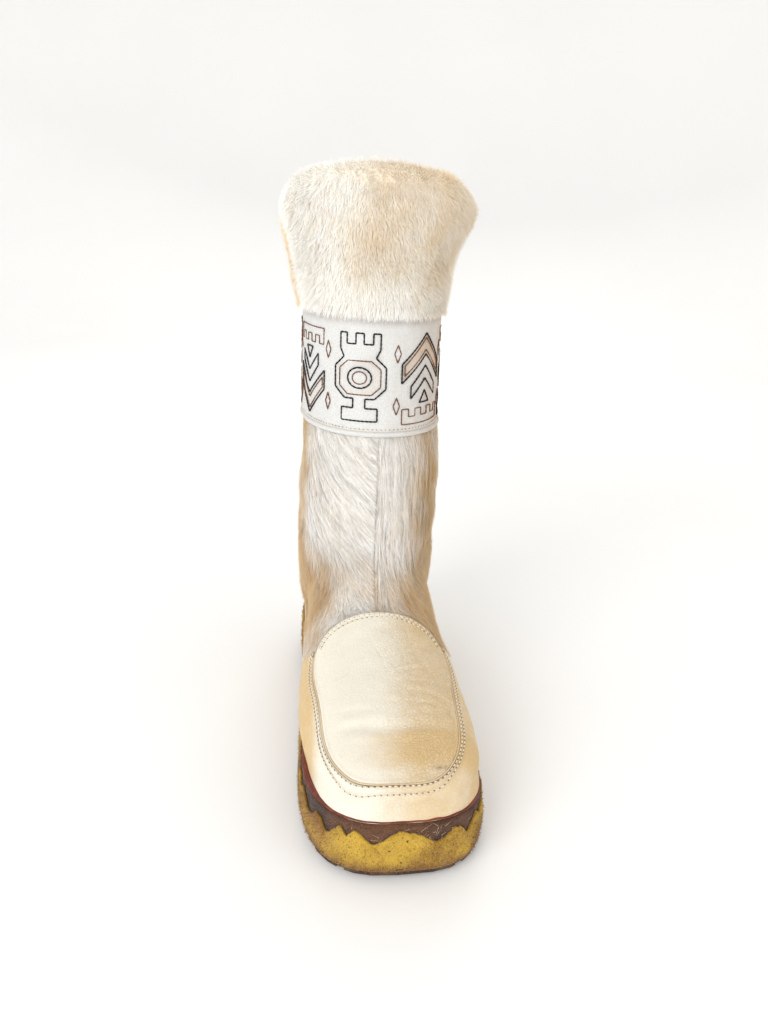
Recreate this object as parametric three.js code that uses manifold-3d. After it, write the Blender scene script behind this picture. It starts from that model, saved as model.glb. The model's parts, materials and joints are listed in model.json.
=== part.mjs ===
// Snow boot for the left foot, in millimetres, +Z up. The toe points along -Y and the outer side is +X.
// The origin is on the ground under the ankle. Every form below is worked out from t, the distance
// forward of the ankle, so y = -t.
import * as THREE from 'three';
import { mergeVertices } from 'three/addons/utils/BufferGeometryUtils.js';
import Module from 'manifold-3d';

const wasm = await Module();
wasm.setup();

// Driving dimensions
const TOE_TIP = 205;
const HEEL_TIP = -72;
const TOE_ROUND_FROM = 128;
const HEEL_ROUND_FROM = -22;
const TOE_POWER = { lateral: 3.2, medial: 2.7 };
const HEEL_POWER = { lateral: 2.5, medial: 2.5 };
const COLLAR_HEIGHT = 318;
const CUFF_TOP = 339;
const CUFF_BOTTOM = 256;
const BAND_BOTTOM = 192;
const GAP = 0.3;
const FILLET = { least: 4, more: 22, from: 20, to: 60 };

// Walls and insets from the edge of the sole
const FEATHER_INSET = 5.2;
const FEATHER_TUCK = 2.6;
const WIDEST_RISE = 15;
const SECTION_POWER = 2.3;
const SHAFT_POWER = 2.2;
const UPPER_WALL = 3;
const APRON_SKIN = 1.5;
const SIDEWALL_SKIN = 1.9;
const BAND_SKIN = 2.1;
const HEM_PROUD = 3.6;
const HEM_HEIGHT = 5;
const HEM_DROP = 1.5;
const CUT_REACH = 100;
const TREAD_DEPTH = 3;
const OUTSOLE_EDGE = 5.2;
const INSOLE_THICKNESS = 4;
const INSOLE_CLEARANCE = 1.6;

// Steps round and up the forms
const SOLE_STEPS = { side: 10, toe: 9, heel: 7 };
const ROUND_STEPS = 30;
const RING_COUNT = 20;
const INNER_STEPS = 28;
const INNER_RINGS = 15;
const RAY_SIDE_REACH = 45;
const RAY_LIMIT = 2.2;
const RAY_HALVINGS = 36;
const CUT_STRETCH = 6;

// Insets of the sole's layers from its outline, inner and outer face
const MIDSOLE_INSET = 3.1;
const BROWN_INSETS = { inner: 2.8, outer: 1.5 };
const MUSTARD_INSETS = { inner: 1.2, outer: 0 };
const RAND_INSETS = { inner: 4.2, outer: 0.9 };
const RAND_HEIGHTS = { edge: 1.6, inner: 2.8 };
const ZIGZAG_DEPTHS = [3.5, 7.2, 11.6, 9.4, 4.6, 6.4, 12.4, 8.2, 3, 8.8];

// The outsole's slab as insets and rises above the tread, and the grooves between its lugs
const SLAB_EDGE = { under: 1.6, lower: 0.4, lowerRise: 0.7, upper: 0.4, upperDrop: 0.7 };
const LUG_INSET = 1.4;
const LUG_OVERLAP = 0.5;
const CHEVRON = { first: -55, pitch: 22, width: 4, length: 70, middle: 33, turn: 0.3, sink: 0.6 };
const LONG_GROOVE = { side: 17, width: 3.2, from: -100, to: 150, drop: 0.7 };

// Half-widths of the sole at each station, before its ends are rounded
const SOLE_WIDTHS = [
  { t: -72, lateral: 41, medial: 41 },
  { t: -30, lateral: 42, medial: 41.5 },
  { t: 0, lateral: 44, medial: 42 },
  { t: 30, lateral: 46, medial: 42.3 },
  { t: 70, lateral: 48.5, medial: 44.2 },
  { t: 110, lateral: 51, medial: 47.5 },
  { t: 140, lateral: 51.5, medial: 48 },
  { t: 205, lateral: 53, medial: 49 },
];

// Height of the tread's underside: flat under heel and forefoot, lifted at the arch and the toe
const TREAD_LEVELS = [
  { t: -72, z: 2 },
  { t: -60, z: 0 },
  { t: 26, z: 0 },
  { t: 38, z: 2.5 },
  { t: 62, z: 2.5 },
  { t: 76, z: 0 },
  { t: 148, z: 0 },
  { t: 178, z: 0.6 },
  { t: 205, z: 3.4 },
];

// Height of the platform's top, where the upper meets the sole
const PLATFORM_LEVELS = [
  { t: -72, z: 40 },
  { t: 0, z: 38 },
  { t: 60, z: 33 },
  { t: 110, z: 30 },
  { t: 150, z: 30 },
  { t: 205, z: 34.5 },
];

// Height of the foot form's crest before its toe is rounded down
const CREST_LEVELS = [
  { t: -72, z: 80 },
  { t: -20, z: 92 },
  { t: 40, z: 96 },
  { t: 65, z: 97 },
  { t: 82, z: 88 },
  { t: 100, z: 81 },
  { t: 120, z: 75 },
  { t: 150, z: 68.5 },
  { t: 170, z: 64.5 },
  { t: 205, z: 59 },
];

// Level sections of the shaft form, which leans a little inwards above the ankle
const SHAFT_SECTIONS = [
  { z: 30, front: 36, back: -60, half: 31, lean: 0 },
  { z: 45, front: 44, back: -63.5, half: 35, lean: 0 },
  { z: 62, front: 52, back: -67, half: 41, lean: 0 },
  { z: 85, front: 59, back: -65.5, half: 44, lean: 0 },
  { z: 110, front: 62, back: -64.5, half: 44.5, lean: 0 },
  { z: 145, front: 62, back: -65, half: 44.5, lean: 0 },
  { z: 180, front: 61.5, back: -65, half: 43.3, lean: 0 },
  { z: 200, front: 60.5, back: -64, half: 41, lean: -0.8 },
  { z: 258, front: 60, back: -64, half: 40.6, lean: -1.4 },
  { z: 318, front: 62, back: -66, half: 43.6, lean: -2.2 },
  { z: 345, front: 62, back: -66, half: 43.6, lean: -2.2 },
];

// Rings of the upper from the sole to the collar, each from its front point to its back point
const RING_POINTS = [
  { frontT: 198, frontZ: 34, backT: -66, backZ: 40 },
  { frontT: 199, frontZ: 40, backT: -67, backZ: 43 },
  { frontT: 198, frontZ: 47, backT: -68, backZ: 45 },
  { frontT: 190, frontZ: 54, backT: -68, backZ: 47 },
  { frontT: 174, frontZ: 60, backT: -68, backZ: 49 },
  { frontT: 150, frontZ: 67, backT: -68, backZ: 52 },
  { frontT: 120, frontZ: 75, backT: -68, backZ: 55 },
  { frontT: 95, frontZ: 84, backT: -67, backZ: 60 },
  { frontT: 78, frontZ: 96, backT: -66, backZ: 67 },
  { frontT: 68, frontZ: 111, backT: -65, backZ: 78 },
  { frontT: 63, frontZ: 138, backT: -65, backZ: 108 },
  { frontT: 61.5, frontZ: 186, backT: -64.5, backZ: 170 },
  { frontT: 60, frontZ: 250, backT: -64, backZ: 248 },
  { frontT: 62, frontZ: 318, backT: -66, backZ: 318 },
];

// Plan half-width of the apron, and the height of the sidewall's top edge behind it
const APRON_TOE_LEVEL = 53.2;
const EDGE_STEP = 6;
const APRON_WIDTHS = [
  { t: 83.3, half: 0 },
  { t: 84.4, half: 17 },
  { t: 86.5, half: 25 },
  { t: 89, half: 30 },
  { t: 92.5, half: 34 },
  { t: 99, half: 37 },
  { t: 112, half: 38.4 },
  { t: 122, half: 38.2 },
  { t: 134, half: 36.8 },
  { t: 148, half: 35.8 },
  { t: 162, half: 35.2 },
  { t: 172, half: 33.8 },
  { t: 182, half: 30.6 },
  { t: 189, half: 26.2 },
  { t: 194, half: 21.5 },
  { t: 198, half: 16.5 },
  { t: 206, half: 0 },
];
const SIDEWALL_EDGE = [
  { t: -80, z: 83 },
  { t: -50, z: 80 },
  { t: -10, z: 68 },
  { t: 30, z: 61 },
  { t: 70, z: 58 },
  { t: 88, z: 60 },
  { t: 96, z: 66 },
  { t: 100, z: 78 },
];

// How much further out the inner side of the upper swells at its widest level
const INNER_SWELL = [
  { t: -10, swell: 0 },
  { t: 30, swell: 2.2 },
  { t: 80, swell: 2.8 },
  { t: 125, swell: 2.4 },
  { t: 160, swell: 0 },
];

/** A smooth curve through the named columns of a table, with no overshoot between its rows. */
function through(rows, from, to) {
  const at = rows.map((row) => row[from]);
  const value = rows.map((row) => row[to]);
  const slope = at.slice(1).map((place, k) => (value[k + 1] - value[k]) / (place - at[k]));
  const tangent = at.map((_, k) => {
    const before = slope[Math.max(k - 1, 0)];
    const after = slope[Math.min(k, slope.length - 1)];
    return before * after <= 0 ? 0 : (2 * before * after) / (before + after);
  });
  return (place) => {
    const held = THREE.MathUtils.clamp(place, at[0], at[at.length - 1]);
    let k = 0;
    while (k < slope.length - 1 && held > at[k + 1]) k += 1;
    const span = at[k + 1] - at[k];
    const s = (held - at[k]) / span;
    const rise = (2 * s * s * s - 3 * s * s + 1) * value[k] + (3 * s * s - 2 * s * s * s) * value[k + 1];
    return rise + span * ((s * s * s - 2 * s * s + s) * tangent[k] + (s * s * s - s * s) * tangent[k + 1]);
  };
}

const lateralHalf = through(SOLE_WIDTHS, 't', 'lateral');
const medialHalf = through(SOLE_WIDTHS, 't', 'medial');
const treadLevel = through(TREAD_LEVELS, 't', 'z');
const platformLevel = through(PLATFORM_LEVELS, 't', 'z');
const crestLevel = through(CREST_LEVELS, 't', 'z');
const shaftFront = through(SHAFT_SECTIONS, 'z', 'front');
const shaftBack = through(SHAFT_SECTIONS, 'z', 'back');
const shaftHalf = through(SHAFT_SECTIONS, 'z', 'half');
const shaftLean = through(SHAFT_SECTIONS, 'z', 'lean');
const sidewallEdge = through(SIDEWALL_EDGE, 't', 'z');
const innerSwell = through(INNER_SWELL, 't', 'swell');

/** How far a station lies into the rounded toe or heel, from 0 where the rounding starts to 1 at the tip. */
function endShare(t, inset) {
  const toe = (t - TOE_ROUND_FROM) / (TOE_TIP - inset - TOE_ROUND_FROM);
  const heel = (HEEL_ROUND_FROM - t) / (HEEL_ROUND_FROM - HEEL_TIP - inset);
  return Math.max(toe, heel, 0);
}

/** How much of its half-width the sole keeps where it is rounded, from 1 down to 0 at the tip. */
function keptWidth(share, power) {
  return Math.max(1 - share ** power, 0) ** (1 / power);
}

/** One closed outline of the sole, moved in by inset, as points with x and t, from the toe round the outer side. */
function soleOutline(inset) {
  const toeReach = TOE_TIP - inset - TOE_ROUND_FROM;
  const heelReach = HEEL_ROUND_FROM - HEEL_TIP - inset;
  const roundShare = (k, steps) => Math.sin((k / steps) * Math.PI * 0.5) ** 0.75;
  const half = [];
  for (let k = SOLE_STEPS.toe; k > 0; k -= 1) {
    const share = roundShare(k, SOLE_STEPS.toe);
    half.push({ t: TOE_ROUND_FROM + toeReach * share, share, power: TOE_POWER });
  }
  for (let k = 0; k < SOLE_STEPS.side; k += 1) {
    const t = THREE.MathUtils.lerp(TOE_ROUND_FROM, HEEL_ROUND_FROM, k / SOLE_STEPS.side);
    half.push({ t, share: 0, power: TOE_POWER });
  }
  for (let k = 0; k <= SOLE_STEPS.heel; k += 1) {
    const share = roundShare(k, SOLE_STEPS.heel);
    half.push({ t: HEEL_ROUND_FROM - heelReach * share, share, power: HEEL_POWER });
  }
  const outer = half.map(({ t, share, power }) => (
    { t, x: keptWidth(share, power.lateral) * (lateralHalf(t) - inset) }));
  const inner = half.slice(1, -1).map(({ t, share, power }) => (
    { t, x: -keptWidth(share, power.medial) * (medialHalf(t) - inset) }));
  return [...outer, ...inner.reverse()];
}

/** A ring of points of the sole at an inset, with its height given as a function of t. */
function soleRing(inset, level) {
  return soleOutline(inset).map(({ x, t }) => new THREE.Vector3(x, -t, level(t)));
}

/** Each edge of a ring split in two, so that a finer edge lies on the same facets. */
function splitRing(ring) {
  return ring.flatMap((point, k) => [point, point.clone().lerp(ring[(k + 1) % ring.length], 0.5)]);
}

/** A closed mesh from rings of equally many points. Its ends are ruled across from side to side. */
function loft(rings, closed = false) {
  const count = rings[0].length;
  const position = rings.flat().flatMap((point) => point.toArray());
  const index = [];
  const quad = (a, b, c, d) => index.push(a, b, c, a, c, d);
  const last = closed ? rings.length : rings.length - 1;
  for (let r = 0; r < last; r += 1) {
    const here = r * count;
    const next = ((r + 1) % rings.length) * count;
    for (let k = 0; k < count; k += 1) {
      const side = (k + 1) % count;
      quad(here + k, here + side, next + side, next + k);
    }
  }
  if (!closed) {
    const top = (rings.length - 1) * count;
    for (let k = 0; k < count / 2; k += 1) {
      const mirror = (count - k) % count;
      const before = count - k - 1;
      quad(k, mirror, before, k + 1);
      quad(top + k, top + k + 1, top + before, top + mirror);
    }
  }
  const geometry = new THREE.BufferGeometry();
  geometry.setAttribute('position', new THREE.Float32BufferAttribute(position, 3));
  geometry.setIndex(index);
  return solidOf(geometry);
}

/** The signed volume of an indexed mesh, which is negative where its faces point inwards. */
function signedVolume(position, index) {
  const corners = [0, 1, 2].map(() => new THREE.Vector3());
  let volume = 0;
  for (let k = 0; k < index.length; k += 3) {
    corners.forEach((corner, j) => corner.fromArray(position, index[k + j] * 3));
    volume += corners[0].dot(corners[1].cross(corners[2])) / 6;
  }
  return volume;
}

/** A manifold solid from a closed geometry, with its faces turned outwards. */
function solidOf(geometry) {
  const bare = geometry.clone();
  bare.deleteAttribute('normal');
  bare.deleteAttribute('uv');
  const merged = mergeVertices(bare, 1e-4);
  const vertProperties = new Float32Array(merged.attributes.position.array);
  const kept = [];
  const index = merged.index.array;
  for (let k = 0; k < index.length; k += 3) {
    const [a, b, c] = [index[k], index[k + 1], index[k + 2]];
    if (a !== b && b !== c && c !== a) kept.push(a, b, c);
  }
  const triVerts = new Uint32Array(signedVolume(vertProperties, kept) < 0 ? kept.reverse() : kept);
  return new wasm.Manifold(new wasm.Mesh({ numProp: 3, vertProperties, triVerts }));
}

/** A three.js geometry from a manifold solid. */
function geometryOf(solid) {
  const mesh = solid.getMesh();
  const geometry = new THREE.BufferGeometry();
  geometry.setAttribute('position', new THREE.Float32BufferAttribute(mesh.vertProperties, 3));
  geometry.setIndex([...mesh.triVerts]);
  geometry.computeVertexNormals();
  return geometry;
}

/** A box between two corners given as x, t and z, as a manifold solid. */
function block(low, high) {
  const size = high.map((value, k) => value - low[k]);
  const geometry = new THREE.BoxGeometry(...size);
  geometry.translate((low[0] + high[0]) / 2, -(low[1] + high[1]) / 2, (low[2] + high[2]) / 2);
  return solidOf(geometry);
}

/** Distance outside the foot form: a dome over the sole's outline, upright below its widest level. */
function outsideFoot(x, t, z) {
  const widest = platformLevel(t) + WIDEST_RISE;
  const below = THREE.MathUtils.clamp((widest - z) / WIDEST_RISE, 0, 1);
  const swell = x < 0 ? innerSwell(t) * (1 - below) ** 1.5 : 0;
  const inset = FEATHER_INSET - swell + FEATHER_TUCK * below * below;
  const half = (x >= 0 ? lateralHalf(t) : medialHalf(t)) - inset;
  const power = (t > 0 ? TOE_POWER : HEEL_POWER)[x >= 0 ? 'lateral' : 'medial'];
  const across = ((Math.abs(x) / half) ** power + endShare(t, inset) ** power) ** (1 / power);
  const height = crestLevel(t) - widest;
  const up = Math.max(z - widest, 0) / height;
  const radius = Math.max((across ** SECTION_POWER + up ** SECTION_POWER) ** (1 / SECTION_POWER), 1e-3);
  const lean = SECTION_POWER - 1;
  return (radius - 1) / Math.hypot((across / radius) ** lean / half, (up / radius) ** lean / height);
}

/** Distance outside the shaft form: a rounded oval at each level. */
function outsideShaft(x, t, z) {
  const middle = (shaftFront(z) + shaftBack(z)) / 2;
  const depth = (shaftFront(z) - shaftBack(z)) / 2;
  const across = Math.abs(x - shaftLean(z)) / shaftHalf(z);
  const along = Math.abs(t - middle) / depth;
  const radius = Math.max((across ** SHAFT_POWER + along ** SHAFT_POWER) ** (1 / SHAFT_POWER), 1e-3);
  const lean = SHAFT_POWER - 1;
  return (radius - 1) / Math.hypot((across / radius) ** lean / shaftHalf(z), (along / radius) ** lean / depth);
}

/** Distance outside the bare shell: foot and shaft joined by a fillet that is wide over the instep. */
function outsideShell(x, t, z) {
  const foot = outsideFoot(x, t, z);
  const shaft = outsideShaft(x, t, z);
  const width = FILLET.least + FILLET.more * THREE.MathUtils.smoothstep(t, FILLET.from, FILLET.to);
  const near = Math.max(width - Math.abs(foot - shaft), 0) / width;
  return Math.min(foot, shaft) - (near * near * width) / 4;
}

/** Direction straight out of the shell. */
function shellNormal(x, t, z) {
  const step = 0.5;
  return new THREE.Vector3(
    outsideShell(x + step, t, z) - outsideShell(x - step, t, z),
    outsideShell(x, t - step, z) - outsideShell(x, t + step, z),
    outsideShell(x, t, z + step) - outsideShell(x, t, z - step),
  ).normalize();
}

const ringCurves = Object.fromEntries(
  ['frontT', 'frontZ', 'backT', 'backZ'].map((name) => [
    name,
    through(RING_POINTS.map((row, k) => ({ k, value: row[name] })), 'k', 'value'),
  ]),
);

/** One ring of the upper: its reach and its height as a function of t. The lowest follows the platform. */
function ringPlane(row) {
  const [frontT, frontZ, backT, backZ] = ['frontT', 'frontZ', 'backT', 'backZ'].map((n) => ringCurves[n](row));
  const first = RING_POINTS[0];
  const straight = (t, a, b, c, d) => b + ((t - a) * (d - b)) / (c - a);
  const fade = (1 - THREE.MathUtils.clamp(row / 5, 0, 1)) ** 1.5;
  const level = (t) => {
    const base = straight(t, first.backT, first.backZ, first.frontT, first.frontZ);
    return straight(t, backT, backZ, frontT, frontZ) + (platformLevel(t) + GAP - base) * fade;
  };
  return { middle: (frontT + backT) / 2, reach: (frontT - backT) / 2, level };
}

/** Points where rays from the middle of a ring meet the shell, then moved out by proud. */
function castRing({ middle, reach, level }, count, proud, upright) {
  const lean = shaftLean(level(middle));
  return Array.from({ length: count }, (_, k) => {
    const angle = (k / count) * Math.PI * 2;
    const place = (r) => {
      const t = middle + r * Math.cos(angle) * reach;
      return { x: lean + r * Math.sin(angle) * RAY_SIDE_REACH, t, z: level(t) };
    };
    let [low, high] = [0, RAY_LIMIT];
    for (let step = 0; step < RAY_HALVINGS; step += 1) {
      const half = (low + high) / 2;
      const { x, t, z } = place(half);
      if (outsideShell(x, t, z) < 0) low = half;
      else high = half;
    }
    const { x, t, z } = place(low);
    const normal = shellNormal(x, t, z);
    if (upright) normal.setZ(0).normalize();
    return new THREE.Vector3(x, -t, z).addScaledVector(normal, proud);
  });
}

/** The whole boot form moved out by proud, as a solid. Stretch makes it longer at both open ends. */
function shellForm(proud, count = ROUND_STEPS, ringCount = RING_COUNT, stretch = 0) {
  const lastRow = RING_POINTS.length - 1;
  const rings = Array.from({ length: ringCount }, (_, r) => {
    const row = (lastRow * r) / (ringCount - 1);
    return castRing(ringPlane(row), count, proud, r === 0 || r === ringCount - 1);
  });
  if (stretch > 0) {
    rings.unshift(rings[0].map((point) => point.clone().setZ(point.z - stretch)));
    rings.push(rings[ringCount].map((point) => point.clone().setZ(point.z + stretch)));
  }
  return loft(rings);
}

/** A skin lying on the shell: the form between two distances, kept inside a region. */
function skin(proud, region) {
  return shellForm(proud).subtract(shellForm(GAP, ROUND_STEPS, RING_COUNT, CUT_STRETCH)).intersect(region);
}

/** The apron's plan outline, moved out by grow, drawn up through the forefoot. */
function apronRegion(grow) {
  const edge = APRON_WIDTHS.map(({ t, half }, k) => {
    const end = k === 0 ? -grow : k === APRON_WIDTHS.length - 1 ? grow : 0;
    return new THREE.Vector2(half === 0 ? 0 : half + grow, t + end);
  });
  const mirrored = edge.slice(1, -1).map(({ x, y }) => new THREE.Vector2(-x, y));
  const shape = new THREE.Shape([...edge, ...mirrored.reverse()]);
  const geometry = new THREE.ExtrudeGeometry(shape, { depth: CUT_REACH, bevelEnabled: false });
  geometry.scale(1, -1, 1);
  geometry.translate(0, 0, APRON_TOE_LEVEL - grow);
  return solidOf(geometry);
}

/** The space below the sidewall's top edge, drawn across the boot. */
function sidewallRegion() {
  const edge = [];
  const [start, end] = [SIDEWALL_EDGE[0].t, SIDEWALL_EDGE[SIDEWALL_EDGE.length - 1].t];
  const [above, ahead] = [COLLAR_HEIGHT, TOE_TIP + GAP];
  for (let t = start; t <= end; t += EDGE_STEP) edge.push(new THREE.Vector2(-t, sidewallEdge(t)));
  edge.push(new THREE.Vector2(-end - 2, above), new THREE.Vector2(-ahead, above));
  edge.push(new THREE.Vector2(-ahead, 0), new THREE.Vector2(-start, 0));
  const geometry = new THREE.ExtrudeGeometry(new THREE.Shape(edge), { depth: CUT_REACH * 2, bevelEnabled: false });
  geometry.applyMatrix4(new THREE.Matrix4().makeBasis(
    new THREE.Vector3(0, 1, 0),
    new THREE.Vector3(0, 0, 1),
    new THREE.Vector3(1, 0, 0),
  ));
  geometry.translate(-CUT_REACH, 0, 0);
  return solidOf(geometry);
}

/** The outsole: a slab with a rounded edge, and lugs below it parted by chevron and long grooves. */
function outsole() {
  const slabBottom = (t) => treadLevel(t) + TREAD_DEPTH;
  const slab = loft([
    soleRing(SLAB_EDGE.under, slabBottom),
    soleRing(SLAB_EDGE.lower, (t) => slabBottom(t) + SLAB_EDGE.lowerRise),
    soleRing(0, (t) => treadLevel(t) + OUTSOLE_EDGE - SLAB_EDGE.upperDrop),
    soleRing(SLAB_EDGE.upper, (t) => treadLevel(t) + OUTSOLE_EDGE),
  ]);
  let tread = loft([soleRing(LUG_INSET, treadLevel), soleRing(LUG_INSET, (t) => slabBottom(t) + LUG_OVERLAP)]);
  for (let t = CHEVRON.first; t < TOE_TIP - CHEVRON.pitch / 2; t += CHEVRON.pitch) {
    for (const side of [-1, 1]) {
      const groove = new THREE.BoxGeometry(CHEVRON.length, CHEVRON.width, TREAD_DEPTH * 2);
      groove.translate(side * CHEVRON.middle, 0, 0);
      groove.rotateZ(side * -CHEVRON.turn);
      groove.translate(0, -t, treadLevel(t) - CHEVRON.sink);
      tread = tread.subtract(solidOf(groove));
    }
  }
  for (const side of [-1, 1]) {
    const x = side * LONG_GROOVE.side;
    const half = LONG_GROOVE.width / 2;
    const low = [x - half, LONG_GROOVE.from, -1];
    tread = tread.subtract(block(low, [x + half, LONG_GROOVE.to, TREAD_DEPTH - LONG_GROOVE.drop]));
  }
  return slab.add(tread);
}

const midsoleBottom = (t) => treadLevel(t) + OUTSOLE_EDGE + GAP;

/** The platform between outsole and upper. */
function midsole() {
  return loft([soleRing(MIDSOLE_INSET, midsoleBottom), soleRing(MIDSOLE_INSET, platformLevel)]);
}

/** The dark strip wrapped round the whole platform. */
function brownFoxing() {
  return loft([
    soleRing(BROWN_INSETS.inner, midsoleBottom),
    soleRing(BROWN_INSETS.outer, midsoleBottom),
    soleRing(BROWN_INSETS.outer, platformLevel),
    soleRing(BROWN_INSETS.inner, platformLevel),
  ], true);
}

/** The mustard strip over the dark one, with a zigzag of uneven peaks along its top edge. */
function mustardFoxing() {
  const depths = ZIGZAG_DEPTHS;
  const top = (ring) => splitRing(ring).map((point, k) => point.setZ(point.z - depths[k % depths.length]));
  return loft([
    splitRing(soleRing(MUSTARD_INSETS.inner, midsoleBottom)),
    splitRing(soleRing(MUSTARD_INSETS.outer, midsoleBottom)),
    top(soleRing(MUSTARD_INSETS.outer, platformLevel)),
    top(soleRing(MUSTARD_INSETS.inner, platformLevel)),
  ], true);
}

/** The leather strip that covers the joint between upper and platform. */
function rand() {
  const above = (rise) => (t) => platformLevel(t) + rise;
  return loft([
    soleRing(RAND_INSETS.inner, above(GAP)),
    soleRing(RAND_INSETS.outer, above(GAP)),
    soleRing(RAND_INSETS.outer, above(RAND_HEIGHTS.edge)),
    soleRing(RAND_INSETS.inner, above(RAND_HEIGHTS.inner)),
  ], true);
}

/** The insole, lying inside the upper on the platform. */
function insole() {
  const inset = FEATHER_INSET + FEATHER_TUCK + UPPER_WALL + INSOLE_CLEARANCE;
  const above = (rise) => (t) => platformLevel(t) + rise;
  return loft([soleRing(inset, above(GAP)), soleRing(inset, above(GAP + INSOLE_THICKNESS))]);
}

/** The hollow upper, open at its collar and underneath. */
function upper() {
  return shellForm(0).subtract(shellForm(-UPPER_WALL, INNER_STEPS, INNER_RINGS, CUT_STRETCH));
}

/** The embroidered band and the leather under the cuff, with the rolled hem along its lower edge. */
function band() {
  const level = (bottom, top) => block([-CUT_REACH, -CUT_REACH, bottom], [CUT_REACH, CUT_REACH, top]);
  const sheet = skin(BAND_SKIN, level(BAND_BOTTOM, COLLAR_HEIGHT - 1));
  const hemBottom = BAND_BOTTOM - HEM_DROP;
  return sheet.add(skin(HEM_PROUD, level(hemBottom, hemBottom + HEM_HEIGHT)));
}

// The cuff's cross-section, out from the shaft's surface: up its outer side, over the top and down inside
const CUFF_PROFILE = [
  { out: 0, z: CUFF_BOTTOM },
  { out: 4, z: CUFF_BOTTOM },
  { out: 6.4, z: CUFF_BOTTOM + 4 },
  { out: 8.2, z: 288 },
  { out: 11.8, z: 312 },
  { out: 12.5, z: 325 },
  { out: 9, z: 334 },
  { out: 4, z: CUFF_TOP },
  { out: -0.5, z: 334 },
  { out: -2.6, z: 327 },
  { out: -2.6, z: COLLAR_HEIGHT + GAP },
  { out: 0, z: COLLAR_HEIGHT + GAP },
];
const CUFF_PLAN = { middle: -2, reach: 64 };
const NOTCHES_FROM = 5;
const LOCK_ROWS = [
  { out: 5.6, z: 272, count: 17 },
  { out: 7.8, z: 294, count: 18 },
  { out: 10.4, z: 316, count: 19 },
];
const LOCK = { radius: 7, length: 17, tilt: 0.24, sink: 1.4, follow: 0.8 };
const CUFF_NOTCHES = [
  { angle: -1.72, width: 0.13, depth: 3.6 },
  { angle: 1.72, width: 0.16, depth: 2 },
];

/** How far the fur draws in where the front and back flaps of the cuff meet, at an angle round it. */
function notchDepth(angle) {
  return CUFF_NOTCHES.reduce((sum, notch) => {
    const turn = Math.atan2(Math.sin(angle - notch.angle), Math.cos(angle - notch.angle));
    return sum + notch.depth * Math.exp(-((turn / notch.width) ** 2));
  }, 0);
}

/** A ring of the cuff's surface at a level, with its distance from the shaft given. */
function cuffRing(out, z) {
  const plane = { ...CUFF_PLAN, level: () => Math.min(z, COLLAR_HEIGHT) };
  const bare = castRing(plane, ROUND_STEPS, 0, true);
  return castRing(plane, ROUND_STEPS, out, true).map((point, k) => {
    const angle = (k / ROUND_STEPS) * Math.PI * 2;
    const share = out > NOTCHES_FROM ? notchDepth(angle) / out : 0;
    return point.lerp(bare[k], share).setZ(z);
  });
}

/** The fur cuff: a thick rolled ring with rows of short locks fused to its outer side. */
function furCuff() {
  let cuff = loft(CUFF_PROFILE.map(({ out, z }) => cuffRing(out, z)), true);
  LOCK_ROWS.forEach(({ out, z, count }, r) => {
    const plane = { ...CUFF_PLAN, level: () => Math.min(z, COLLAR_HEIGHT) };
    castRing(plane, count, out, true).forEach((point, k) => {
      const { x, y } = point;
      const normal = shellNormal(x, -y, Math.min(z, COLLAR_HEIGHT)).setZ(0).normalize();
      const lock = new THREE.ConeGeometry(LOCK.radius, LOCK.length, 4);
      lock.rotateX(Math.PI);
      lock.applyMatrix4(new THREE.Matrix4().makeBasis(
        new THREE.Vector3(-normal.y, normal.x, 0),
        new THREE.Vector3(normal.x * -LOCK.tilt, normal.y * -LOCK.tilt, 1).normalize(),
        new THREE.Vector3(normal.x, normal.y, LOCK.tilt).normalize(),
      ));
      const lift = ((k * 7 + r * 5) % 5) - 2;
      const angle = Math.atan2(x, -y);
      const depth = out - LOCK.sink - notchDepth(angle) * LOCK.follow;
      lock.translate(x + normal.x * (depth - out), y + normal.y * (depth - out), z + lift);
      cuff = cuff.add(solidOf(lock));
    });
  });
  return cuff.subtract(shellForm(BAND_SKIN + GAP, ROUND_STEPS, RING_COUNT, GAP));
}

/** A plain material from a colour and a roughness. */
function finish(color, roughness) {
  return new THREE.MeshStandardMaterial({ color, roughness, metalness: 0 });
}

const hair = finish(0xcfc2ac, 0.85);
const cream = finish(0xe3d6bd, 0.5);
const whiteLeather = finish(0xe9e4d8, 0.5);
const fur = finish(0xd9bf98, 0.95);
const brownFelt = finish(0x33221b, 0.95);
const mustardFelt = finish(0xb97a1e, 0.95);
const redLeather = finish(0x6b2f1f, 0.55);
const rubber = finish(0x2b211d, 0.7);
const foam = finish(0x4a3a2e, 0.8);
const wool = finish(0xd8cdb8, 0.95);

const sidewall = skin(SIDEWALL_SKIN, sidewallRegion()).subtract(apronRegion(GAP));
const apron = skin(APRON_SKIN, apronRegion(0));

const pieces = [
  ['outsole', outsole(), rubber],
  ['midsole', midsole(), foam],
  ['brown_foxing', brownFoxing(), brownFelt],
  ['mustard_foxing', mustardFoxing(), mustardFelt],
  ['rand', rand(), redLeather],
  ['insole', insole(), wool],
  ['upper', upper(), hair],
  ['sidewall', sidewall, cream],
  ['apron', apron, cream],
  ['band', band(), whiteLeather],
  ['fur_cuff', furCuff(), fur],
];

const boot = new THREE.Group();
for (const [name, solid, material] of pieces) {
  const mesh = new THREE.Mesh(geometryOf(solid), material);
  mesh.name = name;
  boot.add(mesh);
}

export default boot;
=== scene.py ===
"""A left snow boot dressed over its CAD frame: fur cuff, embroidered band, hide, leather vamp, felt strips.

Forms are worked out in millimetres from x, t and z, where t is the distance forward of the ankle, so y = -t.
"""

import json
import logging
import math
from dataclasses import dataclass, field
from enum import Enum
from typing import Any, Sequence

import bpy
import numpy as np
from mathutils import Matrix

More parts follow.
